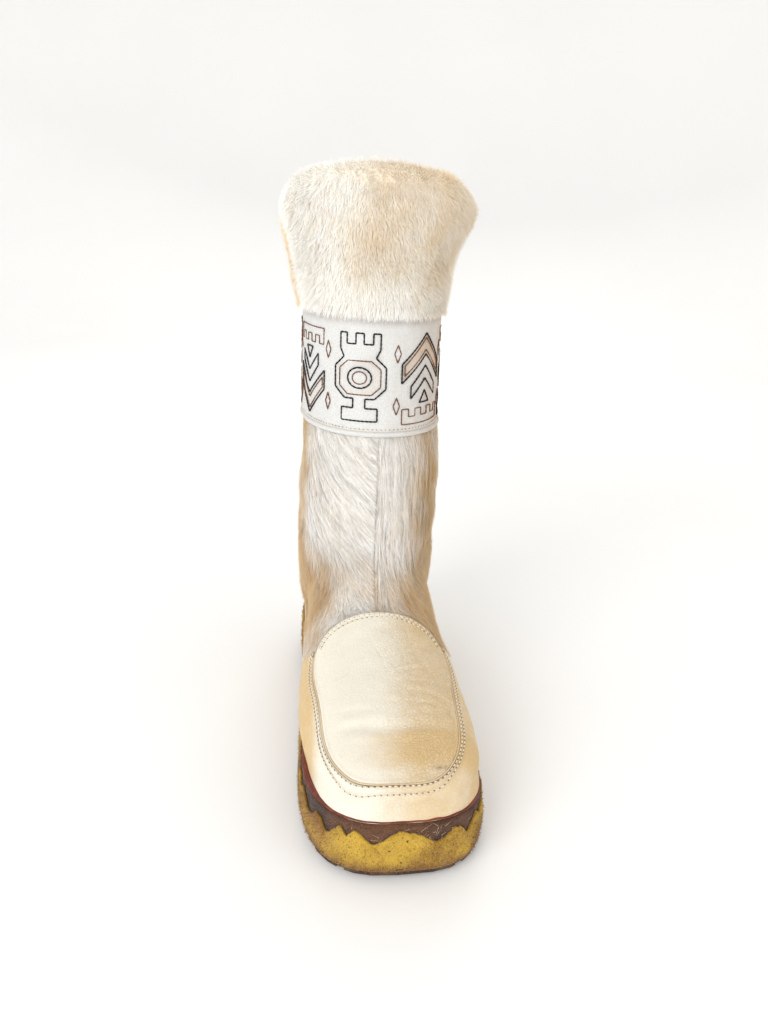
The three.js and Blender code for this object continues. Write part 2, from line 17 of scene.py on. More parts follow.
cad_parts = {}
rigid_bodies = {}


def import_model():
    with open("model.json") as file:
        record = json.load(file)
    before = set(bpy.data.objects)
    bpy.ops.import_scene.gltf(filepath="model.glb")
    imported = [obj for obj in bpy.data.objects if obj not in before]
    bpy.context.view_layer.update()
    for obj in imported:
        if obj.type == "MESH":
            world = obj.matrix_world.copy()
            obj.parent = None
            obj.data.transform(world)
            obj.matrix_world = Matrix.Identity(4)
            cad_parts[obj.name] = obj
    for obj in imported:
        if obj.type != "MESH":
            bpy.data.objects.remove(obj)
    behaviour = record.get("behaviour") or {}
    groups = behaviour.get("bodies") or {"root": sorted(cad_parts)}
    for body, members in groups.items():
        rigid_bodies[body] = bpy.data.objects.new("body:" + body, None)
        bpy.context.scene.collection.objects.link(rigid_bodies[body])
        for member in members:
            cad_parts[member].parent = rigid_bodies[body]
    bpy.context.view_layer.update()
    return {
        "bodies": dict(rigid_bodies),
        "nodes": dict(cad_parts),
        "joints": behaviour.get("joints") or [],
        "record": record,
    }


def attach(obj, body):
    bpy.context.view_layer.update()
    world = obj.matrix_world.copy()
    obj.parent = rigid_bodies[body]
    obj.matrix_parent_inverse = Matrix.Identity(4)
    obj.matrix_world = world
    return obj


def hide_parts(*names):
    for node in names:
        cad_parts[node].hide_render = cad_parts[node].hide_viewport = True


Array = np.ndarray
Colour = tuple[float, float, float]
Corners = tuple[tuple[float, float], ...]
BODY = "root"
MM = 0.001
LOG = logging.getLogger("snow_boot")

# Tables of the boot's form, in millimetres. Each comment names the columns of the table under it.
# station along the foot, half-width on the outer side, half-width on the inner side
SOLE_WIDTHS = (
    (-72, 41, 41), (-30, 42, 41.5), (0, 44, 42), (30, 46, 42.3),
    (70, 48.5, 44.2), (110, 51, 47.5), (140, 51.5, 48), (205, 53, 49),
)
# station, how much further the upper reaches on the inner side
INNER_SWELL = ((-10, 0), (30, 2.2), (80, 2.8), (125, 2.4), (160, 0))
# station, height of the sole's underside
TREAD = ((-72, 2), (-60, 0), (26, 0), (38, 2.5), (62, 2.5), (76, 0), (148, 0), (178, 0.6), (205, 3.4))
# station, height of the platform's top
PLATFORM = ((-72, 40), (0, 38), (60, 33), (110, 30), (150, 30), (205, 34.5))
# station, height of the foot's ridge
CREST = (
    (-72, 80), (-20, 92), (40, 96), (65, 97), (82, 88),
    (100, 81), (120, 75), (150, 68.5), (170, 64.5), (205, 59),
)
# height, front, back, half-width, sideways lean of the shaft
SHAFT = (
    (30, 36, -60, 31, 0), (45, 44, -63.5, 35, 0), (62, 52, -67, 41, 0), (85, 59, -65.5, 44, 0),
    (110, 62, -64.5, 44.5, 0), (145, 62, -65, 44.5, 0), (180, 61.5, -65, 43.3, 0), (200, 60.5, -64, 41, -0.8),
    (258, 60, -64, 40.6, -1.4), (318, 62, -66, 43.6, -2.2), (345, 62, -66, 43.6, -2.2),
)
# front station and height, back station and height of each ring of the upper, from the sole to the collar
RINGS = (
    (198, 34, -66, 40), (199, 40, -67, 43), (198, 47, -68, 45), (190, 54, -68, 47), (174, 60, -68, 49),
    (150, 67, -68, 52), (120, 75, -68, 55), (95, 84, -67, 60), (78, 96, -66, 67), (68, 111, -65, 78),
    (63, 138, -65, 108), (61.5, 186, -64.5, 170), (60, 250, -64, 248), (62, 318, -66, 318),
)
# station, half-width of the apron
APRON_WIDTHS = (
    (84.4, 17), (86.5, 25), (89, 30), (92.5, 34), (99, 37), (112, 38.4), (122, 38.2), (134, 36.8),
    (148, 35.8), (162, 35.2), (172, 33.8), (182, 30.6), (189, 26.2), (194, 21.5),
)
# station and height of the apron's edge at the toe
APRON_TOE = (198.2, 53.2)
# x and t of both ends of a crease in the apron, its depth and its width
CREASES = (
    (-27, 165, 29, 164, 0.85, 3.0), (-24, 174, 27, 175.5, 0.25, 1.8), (0, 158, 32, 156, 0.4, 1.7),
    (6, 150, 32, 152, 0.34, 1.4), (10, 141, 33, 146, 0.36, 1.5), (4, 130, 29, 120, 0.34, 1.5),
    (8, 134, 31, 136, 0.3, 1.2), (12, 114, 27, 104, 0.32, 1.5), (-28, 150, -4, 154, 0.2, 2.0),
    (15, 96, 26, 130, 0.34, 1.3), (7, 98, 17, 126, 0.26, 1.3), (-26, 128, -8, 122, 0.16, 2.0),
    (20, 98, 5, 122, 0.22, 1.2), (27, 118, 12, 150, 0.24, 1.2), (-4, 106, 9, 150, 0.18, 1.4),
)
# station, height of the sidewall's top edge
SIDEWALL_EDGE = ((-80, 83), (-50, 80), (-10, 68), (30, 61), (70, 58), (88, 60), (96, 66), (100, 78))
# turn and height of an ankle fold's middle, its slant, depth, width and reach round the shaft
FOLDS = (
    (0.9, 112, 18, 3.6, 6, 0.5), (-1.15, 118, -14, 2.6, 7, 0.5), (0.5, 96, 22, 1.6, 5, 0.4),
    (1.5, 116, 6, 3.4, 7, 0.5), (1.3, 142, 10, 1.4, 8, 0.6), (-1.7, 166, 0, 3.0, 18, 0.7),
    (3.0, 105, 0, 2.0, 8, 1.0), (-2.1, 98, 8, 1.6, 7, 0.5),
)
# distance from the shaft and height along the cuff's section, from its lower outer edge up and back inside
CUFF_SECTION = (
    (3.1, 259.4), (3.9, 258.6), (5.2, 260), (6.4, 264.5), (7.4, 273), (8.4, 288), (10.0, 300), (11.8, 312),
    (12.6, 320), (12.3, 327), (10.4, 333), (7.4, 337), (4, 338.4), (1.2, 336.6), (-0.8, 333), (-2.2, 327),
    (-2.4, 321), (-1.6, 318.7), (1.0, 318.5), (2.5, 318.2), (2.5, 300), (2.5, 280), (2.5, 263),
)
# inset from the sole's outline and height over the platform along the rand's section
RAND_SECTION = (
    (4.2, 0.3), (2.6, 0.3), (1.5, 0.35), (1.0, 0.8), (1.1, 1.3),
    (1.5, 1.7), (2.2, 2.0), (3.2, 2.3), (4.2, 2.5),
)
# depths of the mustard strip's notches, one after the other
PEAKS = (3.5, 7.2, 11.6, 9.4, 4.6, 6.4, 12.4, 8.2, 3, 8.8)
# width and height of the cell that each figure of the embroidery is drawn on
CELL = (36.0, 62.0)
# station of the shaft's middle, and the height from which its oval stays the same
SHAFT_MIDDLE = -2.0
COLLAR = 318.0


def srgb(red: int, green: int, blue: int) -> Colour:
    """A linear colour from display values.

    Args:
        red: Red between 0 and 255.
        green: Green between 0 and 255.
        blue: Blue between 0 and 255.

    Returns:
        The three linear shares.
    """
    shares = (np.array([red, green, blue]) / 255.0).tolist()
    return tuple(s / 12.92 if s <= 0.04045 else ((s + 0.055) / 1.055) ** 2.4 for s in shares)


def rise(low: float, high: float, value: Array) -> Array:
    """A smooth step of value, flat at both ends.

    Args:
        low: Where the step starts at 0.
        high: Where it ends at 1. It may be the smaller one, and the step then falls.
        value: The numbers.

    Returns:
        A share for each number.
    """
    share = np.clip((value - low) / (high - low), 0, 1)
    return share * share * (3 - 2 * share)


def bump(offset: Array, width: float) -> Array:
    """A bell curve: 1 where the offset is 0, fading over about twice the width to both sides."""
    return np.exp(-((offset / width) ** 2))


def unit(vectors: Array) -> Array:
    """Vectors of length one along the last axis."""
    return vectors / np.maximum(np.linalg.norm(vectors, axis=-1, keepdims=True), 1e-9)


def lengths(path: Array) -> Array:
    """Length of the way from the first point of a path to each of its points."""
    return np.concatenate([[0], np.cumsum(np.linalg.norm(np.diff(path, axis=0), axis=1))])


def spread(path: Array, places: Array) -> Array:
    """Points of a path at lengths from its start, with straight lines between its own points."""
    run = lengths(path)
    return np.stack([np.interp(places, run, values) for values in path.T], -1)


def softened(loop: Array) -> Array:
    """A closed loop with every point moved to the weighted mean of itself and its two neighbours."""
    return (np.roll(loop, 1, 0) + 2 * loop + np.roll(loop, -1, 0)) / 4


def turn_of(place: Array) -> Array:
    """Angle round the shaft's middle, 0 in front, growing towards the outer side to pi behind."""
    return np.arctan2(place[..., 0], place[..., 1] - SHAFT_MIDDLE)


def ripple(place: Array, length: float, seed: int, waves: int = 14) -> Array:
    """Soft noise between about -1 and 1: the mean of plane waves of about one length in random directions.

    Args:
        place: Points, with x, t and z on the last axis.
        length: Length of a wave in millimetres.
        seed: Seed of the random directions.
        waves: How many waves are added.

    Returns:
        One number for each point.
    """
    rng = np.random.default_rng(seed)
    turn = unit(rng.normal(size=(waves, 3))) * (2 * math.pi / length) * rng.uniform(0.6, 1.5, (waves, 1))
    return np.sin(place @ turn.T + rng.uniform(0, 6.283, waves)).sum(-1) * (1.4 / math.sqrt(waves)) / 1.6


class Curve:
    """A smooth curve through rows of (place, value), with no overshoot between them."""

    def __init__(self, rows: Sequence[Sequence[float]], column: int = 1) -> None:
        """Keeps the rows and the slope at each.

        Args:
            rows: The table, with its places in the first column.
            column: The column that holds the value.
        """
        self.at = np.array([row[0] for row in rows], float)
        self.value = np.array([row[column] for row in rows], float)
        slope = np.diff(self.value) / np.diff(self.at)
        before, after = np.concatenate([slope[:1], slope]), np.concatenate([slope, slope[-1:]])
        flat = before * after <= 0
        self.tangent = np.where(flat, 0.0, 2 * before * after / np.where(flat, 1.0, before + after))

    def __call__(self, place: Array) -> Array:
        """The value at each place: a cubic between two rows that keeps the slope at both."""
        held = np.clip(place, self.at[0], self.at[-1])
        k = np.clip(np.searchsorted(self.at, held, side="right") - 1, 0, len(self.at) - 2)
        span = self.at[k + 1] - self.at[k]
        s = (held - self.at[k]) / span
        level = (2 * s**3 - 3 * s**2 + 1) * self.value[k] + (3 * s**2 - 2 * s**3) * self.value[k + 1]
        return level + span * ((s**3 - 2 * s**2 + s) * self.tangent[k] + (s**3 - s**2) * self.tangent[k + 1])


class Last:
    """The bare shell of the boot, as a distance function of x, t and z and as rings of points on it."""

    def __init__(self) -> None:
        """Makes the curves that the form is worked out from."""
        self.lateral, self.medial = Curve(SOLE_WIDTHS, 1), Curve(SOLE_WIDTHS, 2)
        self.tread, self.platform, self.crest = Curve(TREAD), Curve(PLATFORM), Curve(CREST)
        self.front, self.back, self.half, self.lean = (Curve(SHAFT, k) for k in (1, 2, 3, 4))
        numbered = [(k, *row) for k, row in enumerate(RINGS)]
        self.ring = [Curve(numbered, k) for k in (1, 2, 3, 4)]
        self.edge, self.swell = Curve(SIDEWALL_EDGE), Curve(INNER_SWELL)
        self.apron_half = Curve(((83.3, 0), *APRON_WIDTHS, (198, 16.5), (206, 0)))

    @staticmethod
    def end_share(t: Array, inset: Array) -> Array:
        """How far a station lies into the rounded toe or heel, from 0 to 1 at the tip.

        Args:
            t: Stations.
            inset: How far the outline is moved in.

        Returns:
            A share for each station.
        """
        return np.maximum(np.maximum((t - 128) / (77 - inset), (-22 - t) / (50 - inset)), 0)

    def foot(self, x: Array, t: Array, z: Array) -> Array:
        """Distance outside the foot form: a dome over the sole's outline, upright below its widest.

        Args:
            x: Places across.
            t: Stations.
            z: Heights.

        Returns:
            A distance for each place, negative inside.
        """
        widest = self.platform(t) + 15
        below = np.clip((widest - z) / 15, 0, 1)
        inset = 5.2 - np.where(x < 0, self.swell(t) * (1 - below) ** 1.5, 0) + 2.6 * below**2
        half = np.where(x >= 0, self.lateral(t), self.medial(t)) - inset
        power = np.where(t > 0, np.where(x >= 0, 3.2, 2.7), 2.5)
        across = ((np.abs(x) / half) ** power + self.end_share(t, inset) ** power) ** (1 / power)
        height = self.crest(t) - widest
        up = np.maximum(z - widest, 0) / height
        radius = np.maximum((across**2.3 + up**2.3) ** (1 / 2.3), 1e-3)
        return (radius - 1) / np.hypot((across / radius) ** 1.3 / half, (up / radius) ** 1.3 / height)

    def shaft(self, x: Array, t: Array, z: Array) -> Array:
        """Distance outside the shaft form: a superellipse at each level.

        Args:
            x: Places across.
            t: Stations.
            z: Heights.

        Returns:
            A distance for each place, negative inside.
        """
        half, front, back = self.half(z), self.front(z), self.back(z)
        middle, depth = (front + back) / 2, (front - back) / 2
        across, along = np.abs(x - self.lean(z)) / half, np.abs(t - middle) / depth
        radius = np.maximum((across**2.2 + along**2.2) ** (1 / 2.2), 1e-3)
        return (radius - 1) / np.hypot((across / radius) ** 1.2 / half, (along / radius) ** 1.2 / depth)

    def distance(self, place: Array) -> Array:
        """Distance outside the shell: the smaller of foot and shaft, with a fillet wide over the instep."""
        x, t, z = place[..., 0], place[..., 1], place[..., 2]
        foot, shaft = self.foot(x, t, z), self.shaft(x, t, z)
        width = 4 + 22 * rise(20, 60, t)
        near = np.maximum(width - np.abs(foot - shaft), 0) / width
        return np.minimum(foot, shaft) - near * near * width / 4

    def slope(self, place: Array) -> Array:
        """How fast the distance grows along x, t and z, from central differences of half a millimetre."""
        steps = np.eye(3) * 0.5
        return np.stack([self.distance(place + s) - self.distance(place - s) for s in steps], -1)

    def normal(self, place: Array) -> Array:
        """Direction straight out of the shell."""
        return unit(self.slope(place))

    def seat(self, place: Array, proud: Array | float, rounds: int = 4) -> Array:
        """Moves points along the shell's normal until they lie proud outside it.

        Args:
            place: Points near the shell.
            proud: The distance wanted, one number or one for each point.
            rounds: How often the step to the surface is repeated.

        Returns:
            The moved points.
        """
        moved = place.copy()
        for _ in range(rounds):
            way = self.slope(moved)
            gap = self.distance(moved) - proud
            moved = moved - way * (gap / np.maximum((way**2).sum(-1), 1e-6))[..., None]
        return moved

    def rings(self, rows: Array, count: int) -> Array:
        """Points where rays from the middle of each ring of the upper meet the shell.

        Args:
            rows: Ring numbers between 0 at the sole and 13 at the collar.
            count: Points round a ring.

        Returns:
            An array of rings by points by x, t and z.
        """
        front_t, front_z, back_t, back_z = (curve(rows)[:, None] for curve in self.ring)
        middle, reach = (front_t + back_t) / 2, (front_t - back_t) / 2
        fade = (1 - np.clip(rows[:, None] / 5, 0, 1)) ** 1.5
        first = RINGS[0]

        def level(t: Array) -> Array:
            """Height of the ring at a station: a line from its back to its front, led by the platform."""
            base = first[3] + (t - first[2]) * (first[1] - first[3]) / (first[0] - first[2])
            own = back_z + (t - back_t) * (front_z - back_z) / (front_t - back_t)
            return own + (self.platform(t) + 0.3 - base) * fade

        lean = self.lean(level(middle))
        angle = np.linspace(0, 2 * math.pi, count, endpoint=False)[None, :]

        def at(r: Array) -> Array:
            """The point of each ray at a share of its reach."""
            t = middle + r * np.cos(angle) * reach
            return np.stack([lean + r * np.sin(angle) * 45, t, level(t)], -1)

        low, high = np.zeros((len(rows), count)), np.full((len(rows), count), 2.2)
        for _ in range(30):
            half = (low + high) / 2
            inside = self.distance(at(half)) < 0
            low, high = np.where(inside, half, low), np.where(inside, high, half)
        return at(low)

    def oval(self, angle: Array, z: Array, out: Array) -> Array:
        """Points round the shaft at a height, moved out level from its superellipse there.

        Args:
            angle: Angle round the shaft, 0 in front and growing towards the outer side.
            z: Heights.
            out: Distances from the shaft's surface.

        Returns:
            Points with x, t and z on the last axis.
        """
        held = np.minimum(z, COLLAR)
        middle, depth = (self.front(held) + self.back(held)) / 2, (self.front(held) - self.back(held)) / 2
        sine, cosine, half = np.sin(angle), np.cos(angle), self.half(held)
        a, b = np.sign(sine) * np.abs(sine) ** (2 / 2.2), np.sign(cosine) * np.abs(cosine) ** (2 / 2.2)
        way = np.stack([np.sign(a) * np.abs(a) ** 1.2 / half, np.sign(b) * np.abs(b) ** 1.2 / depth], -1)
        plan = np.stack([self.lean(held) + a * half, middle + b * depth], -1) + unit(way) * out[..., None]
        return np.concatenate([plan, np.broadcast_to(z, angle.shape)[..., None]], -1)

    def bare(self, place: Array) -> Array:
        """True where the hide shows: above the sidewall's edge and outside the apron's outline."""
        x, t, z = place[..., 0], place[..., 1], place[..., 2]
        under_apron = (t > 83.3) & (np.abs(x) < self.apron_half(t)) & (z > 52)
        return (z > self.edge(t)) & ~under_apron & (t < 101)


class SoleLine:
    """The sole's outline, numbered from 0 at the toe round the outer side to 26 at the heel and on to 52."""

    turns = 52

    def __init__(self, last: Last) -> None:
        """Keeps the form that gives the half-widths."""
        self.last = last

    def at(self, number: Array, inset: Array | float) -> Array:
        """Points of the outline moved in by an inset: superellipse ends on nearly straight sides.

        Args:
            number: Numbers of the points.
            inset: How far they are moved in.

        Returns:
            Points with x and t on the last axis.
        """
        w = np.mod(number, self.turns)
        outer = w <= self.turns / 2
        i = np.where(outer, w, self.turns - w)
        toe = np.sin(np.clip((9 - i) / 9, 0, 1) * math.pi / 2) ** 0.75
        heel = np.sin(np.clip((i - 19) / 7, 0, 1) * math.pi / 2) ** 0.75
        side = 128 - 150 * np.clip((i - 9) / 10, 0, 1)
        t = np.where(i < 9, 128 + (77 - inset) * toe, np.where(i > 19, -22 - (50 - inset) * heel, side))
        share = np.where(i < 9, toe, np.where(i > 19, heel, 0.0))
        power = np.where(i <= 19, np.where(outer, 3.2, 2.7), 2.5)
        half = np.where(outer, self.last.lateral(t) - inset, inset - self.last.medial(t))
        return np.stack([np.maximum(1 - share**power, 0) ** (1 / power) * half, t], -1)

    @staticmethod
    def waist(plan: Array) -> Array:
        """1 along the inner side, where the leather bulges past the sole, fading to 0 at heel and toe."""
        return rise(-20, 20, plan[..., 1]) * rise(158, 122, plan[..., 1]) * (plan[..., 0] < 0)

    def even(self, count: int) -> Array:
        """Numbers of points spaced evenly along the outline."""
        dense = np.linspace(0, self.turns, 10401)
        run = lengths(self.at(dense, 0.0))
        return np.interp(np.linspace(0, run[-1], count, endpoint=False), run, dense)


@dataclass
class Solid:
    """Points with four- and three-cornered faces and marks at each point, not yet a Blender mesh."""

    points: Array
    quads: Array
    tris: Array
    marks: dict[str, Array] = field(default_factory=dict)
    smooth: bool = True

    def outward(self) -> "Solid":
        """The same solid with its faces pointing out of it, told by the sign of its volume."""
        real = self.points * np.array([1, -1, 1])
        real = real - real.mean(0)
        all_tris = np.concatenate([self.tris, self.quads[:, [0, 1, 2]], self.quads[:, [0, 2, 3]]])
        a, b, c = (real[all_tris[:, k]] for k in range(3))
        if np.einsum("ij,ij->", a, np.cross(b, c)) < 0:
            return Solid(self.points, self.quads[:, ::-1], self.tris[:, ::-1], self.marks, self.smooth)
        return self

    @staticmethod
    def join(parts: Sequence["Solid"]) -> "Solid":
        """One solid from several, with the marks that the first one has."""
        starts = np.cumsum([0] + [len(part.points) for part in parts[:-1]])
        return Solid(
            np.concatenate([part.points for part in parts]),
            np.concatenate([part.quads + s for part, s in zip(parts, starts)]),
            np.concatenate([part.tris + s for part, s in zip(parts, starts)]),
            {name: np.concatenate([p.marks[name] for p in parts]) for name in parts[0].marks},
            parts[0].smooth,
        )

    def piece(
        self, name: str, material: bpy.types.Material, slot: str, nodes: Sequence[str] = ()
    ) -> bpy.types.Object:
        """Makes the Blender object, gives it its finish and ties it to the frame.

        Args:
            name: Name of the piece.
            material: Its finish.
            slot: The record's material slot that the finish belongs to. It is not used.
            nodes: CAD nodes that the piece stands for.

        Returns:
            The new object.
        """
        mesh = bpy.data.meshes.new(name)
        mesh.vertices.add(len(self.points))
        mesh.vertices.foreach_set("co", (self.points * np.array([1, -1, 1]) * MM).astype(np.float32).ravel())
        corners = np.concatenate([self.quads.ravel(), self.tris.ravel()]).astype(np.int32)
        fours = np.arange(len(self.quads)) * 4
        starts = np.concatenate([fours, len(self.quads) * 4 + np.arange(len(self.tris)) * 3]).astype(np.int32)
        mesh.loops.add(len(corners))
        mesh.loops.foreach_set("vertex_index", corners)
        mesh.polygons.add(len(starts))
        mesh.polygons.foreach_set("loop_start", starts)
        for mark, numbers in self.marks.items():
            mesh.attributes.new(mark, "FLOAT", "POINT").data.foreach_set("value", numbers.astype(np.float32))
        mesh.update(calc_edges=True)
        if self.smooth:
            mesh.shade_smooth()
        else:
            mesh.shade_flat()
        mesh.materials.append(material)
        made = bpy.data.objects.new(name, mesh)
        bpy.context.scene.collection.objects.link(made)
        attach(made, BODY)
        if nodes:
            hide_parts(*nodes)
        LOG.info("%s: %d triangles", name, len(self.quads) * 2 + len(self.tris))
        return made


def ring_solid(rings: Array, closed: bool = True, marks: dict[str, Array] | None = None) -> Solid:
    """A solid from rings of points: a tube closed on itself, or a body whose end rings shrink to a pole.

    Args:
        rings: Rings by points by x, t and z.
        closed: Whether the last ring joins the first.
        marks: Numbers at each point of the rings.

    Returns:
        The solid with its faces outward.
    """
    rows, count = rings.shape[:2]
    marks = marks or {}
    here = np.arange(rows if closed else rows - 1)[:, None] * count
    after = (here + count) % (rows * count)
    k = np.arange(count)[None, :]
    side = (k + 1) % count
    quads = np.stack([here + k, here + side, after + side, after + k], -1).reshape(-1, 4)
    points = rings.reshape(-1, 3)
    flat = {name: values.reshape(-1) for name, values in marks.items()}
    tris = np.zeros((0, 3), int)
    if not closed:
        first, last = len(points), len(points) + 1
        ends = [rings[0].mean(0), rings[-1].mean(0)]
        points = np.concatenate([points, ends])
        flat = {n: np.concatenate([v, [marks[n][0].mean(), marks[n][-1].mean()]]) for n, v in flat.items()}
        k, side = k[0], side[0]
        end = (rows - 1) * count
        fan = np.stack([np.full(count, first), side, k], -1)
        tris = np.concatenate([fan, np.stack([np.full(count, last), end + k, end + side], -1)])
    return Solid(points, quads, tris, flat).outward()


def strands(root: Array, tip: Array, width: Array, up: Array, **marks: Array) -> Solid:
    """Closed slender hairs: pyramids from root to tip whose three-sided base is wide across and low along up.

    Args:
        root: Middle of each hair's base.
        tip: Its tip.
        width: Width of the base in millimetres.
        up: The direction that the hair's broad side faces.
        marks: A number for each hair, kept at all its points.

    Returns:
        One solid of all the hairs, with a mark depth of 0 at the roots and 1 at the tips.
    """
    way = unit(tip - root)
    side = unit(np.cross(way, up)) * (width / 2)[:, None]
    high = unit(np.cross(side, way)) * (width * 0.3)[:, None]
    rows = np.stack([root - side, root + side, root + high, tip], 1)
    faces = np.array([(0, 2, 1), (0, 1, 3), (1, 2, 3), (2, 0, 3)])
    tris = (np.arange(len(rows))[:, None, None] * 4 + faces[None]).reshape(-1, 3)
    kept = {name: np.repeat(values, 4) for name, values in marks.items()}
    kept["depth"] = np.tile([0.0, 0.0, 0.0, 1.0], len(rows))
    return Solid(rows.reshape(-1, 3), np.zeros((0, 4), int), tris, kept, smooth=False).outward()


def lattice(u: Array, v: Array, seed: int) -> Array:
    """Soft random heights between 0 and 1 on a grid of one by one, blended between its corners.

    Args:
        u: First coordinate.
        v: Second coordinate.
        seed: Seed of the heights.

    Returns:
        One number for each pair.
    """
    table = np.random.default_rng(seed).uniform(size=(256, 256))
    a, b = np.floor(u).astype(int), np.floor(v).astype(int)
    s, t = rise(0, 1, u - a), rise(0, 1, v - b)

    def corner(i: int, j: int) -> Array:
        """Height at one corner of each pair's square."""
        return table[(a + i) % 256, (b + j) % 256]

    low = corner(0, 0) * (1 - s) + corner(1, 0) * s
    high = corner(0, 1) * (1 - s) + corner(1, 1) * s
    return low * (1 - t) + high * t


def beads(start: Array, end: Array, radius: float) -> Solid:
    """Short round-ended stitches: three six-sided rings between start and end, drawn in to a point at both.

    Args:
        start: First end of each stitch.
        end: Its second end.
        radius: Radius of the middle ring.

    Returns:
        One solid of all the stitches, with 36 triangles each.
    """
    way = unit(end - start)
    side = unit(np.cross(way, np.array([0.31, 0.52, 0.79])))
    other = np.cross(way, side)
    turn = np.arange(6) * math.pi / 3
    star = side[:, None] * np.cos(turn)[None, :, None] + other[:, None] * np.sin(turn)[None, :, None]
    sizes = ((0.1, 0.72), (0.5, 1.0), (0.9, 0.72))
    rings = [(start + (end - start) * share)[:, None] + star * radius * size for share, size in sizes]
    rows = np.concatenate([*rings, start[:, None], end[:, None]], 1)
    k = np.arange(6)
    after = (k + 1) % 6
    band = np.stack([k, after, after + 6, k, after + 6, k + 6], -1).reshape(-1, 3)
    caps = [np.stack([np.full(6, 18), after, k], -1), np.stack([np.full(6, 19), k + 12, after + 12], -1)]
    tris = np.concatenate([band, band + 6, *caps])
    faces = (np.arange(len(rows))[:, None, None] * rows.shape[1] + tris[None]).reshape(-1, 3)
    return Solid(rows.reshape(-1, 3), np.zeros((0, 4), int), faces).outward()


def tube(path: Array, radius: float, sides: int = 8) -> Solid:
    """A round cord carried along an open path, with both ends drawn in to a point.

    Args:
        path: Points of its middle line.
        radius: Its radius.
        sides: Points round it.

    Returns:
        The cord.
    """
    way = unit(np.gradient(path, axis=0))
    side = unit(np.cross(way, np.array([0.05, 0.03, 1.0])))
    other = np.cross(way, side)
    turn = np.linspace(0, 2 * math.pi, sides, endpoint=False)
    star = side[:, None] * np.cos(turn)[None, :, None] + other[:, None] * np.sin(turn)[None, :, None]
    size = np.full(len(path), radius)
    size[[0, -1]] = radius * 0.3
    return ring_solid(path[:, None] + star * size[:, None, None], closed=False)


def scatter(grid: Array, count: int, seed: int, weight: Array | None = None) -> tuple[Array, Array, Array]:
    """Random points on a surface of rings, as many on each part as its area asks.

    Args:
        grid: Rings by points by x, t and z, closed round each ring.
        count: How many points are wanted.
        seed: Seed of the random choice.
        weight: A number for each point of the grid by which its share is multiplied.

    Returns:
        The points, the directions straight out of the surface, and each point's row in the grid.
    """
    rng = np.random.default_rng(seed)
    wrapped = np.concatenate([grid, grid[:, :1]], 1)
    a, b, c, d = wrapped[:-1, :-1], wrapped[:-1, 1:], wrapped[1:, :-1], wrapped[1:, 1:]
    cross = np.cross(b - a, c - a)
    area = np.linalg.norm(cross, axis=-1)
    if weight is not None:
        area = area * weight[:-1]
    total = np.cumsum(area.ravel())
    pick = np.minimum(np.searchsorted(total, rng.uniform(0, total[-1], count)), area.size - 1)
    row, col = np.divmod(pick, area.shape[1])
    v, u = rng.uniform(size=(2, count))
    first = a[row, col] + (b[row, col] - a[row, col]) * u[:, None]
    second = c[row, col] + (d[row, col] - c[row, col]) * u[:, None]
    place = first + (second - first) * v[:, None]
    normal = unit(cross[row, col])
    middle = grid.reshape(-1, 3).mean(0)
    outside = np.einsum("ijk,ijk->", cross, (a - middle)) < 0
    return place, -normal if outside else normal, row + v


class Wire:
    """A socket of a node that takes part in Python arithmetic. Each operator adds a Math node."""

    def __init__(self, board: "Board", socket: bpy.types.NodeSocket) -> None:
        """Keeps the socket and the board that its node stands on.

        Args:
            board: The board.
            socket: The output socket.
        """
        self.board, self.socket = board, socket

    def _math(self, operation: str, *values: Any) -> "Wire":
        """The result of a Math node on these values."""
        return self.board.node("Math", {"operation": operation}, dict(enumerate(values)))

    def __add__(self, other: Any) -> "Wire":
        """self + other."""
        return self._math("ADD", self, other)

    def __radd__(self, other: Any) -> "Wire":
        """other + self."""
        return self._math("ADD", other, self)

    def __sub__(self, other: Any) -> "Wire":
        """self - other."""
        return self._math("SUBTRACT", self, other)

    def __rsub__(self, other: Any) -> "Wire":
        """other - self."""
        return self._math("SUBTRACT", other, self)

    def __mul__(self, other: Any) -> "Wire":
        """self * other."""
        return self._math("MULTIPLY", self, other)

    def step(self, low: float, high: float) -> "Wire":
        """A smooth step of the number.

        Args:
            low: Where the step is 0.
            high: Where it is 1. It may be the smaller one.

        Returns:
            The share as a wire.
        """
        settings = {"interpolation_type": "SMOOTHSTEP"}
        values = {"Value": self, "From Min": low, "From Max": high}
        return self.board.node("MapRange", settings, values)


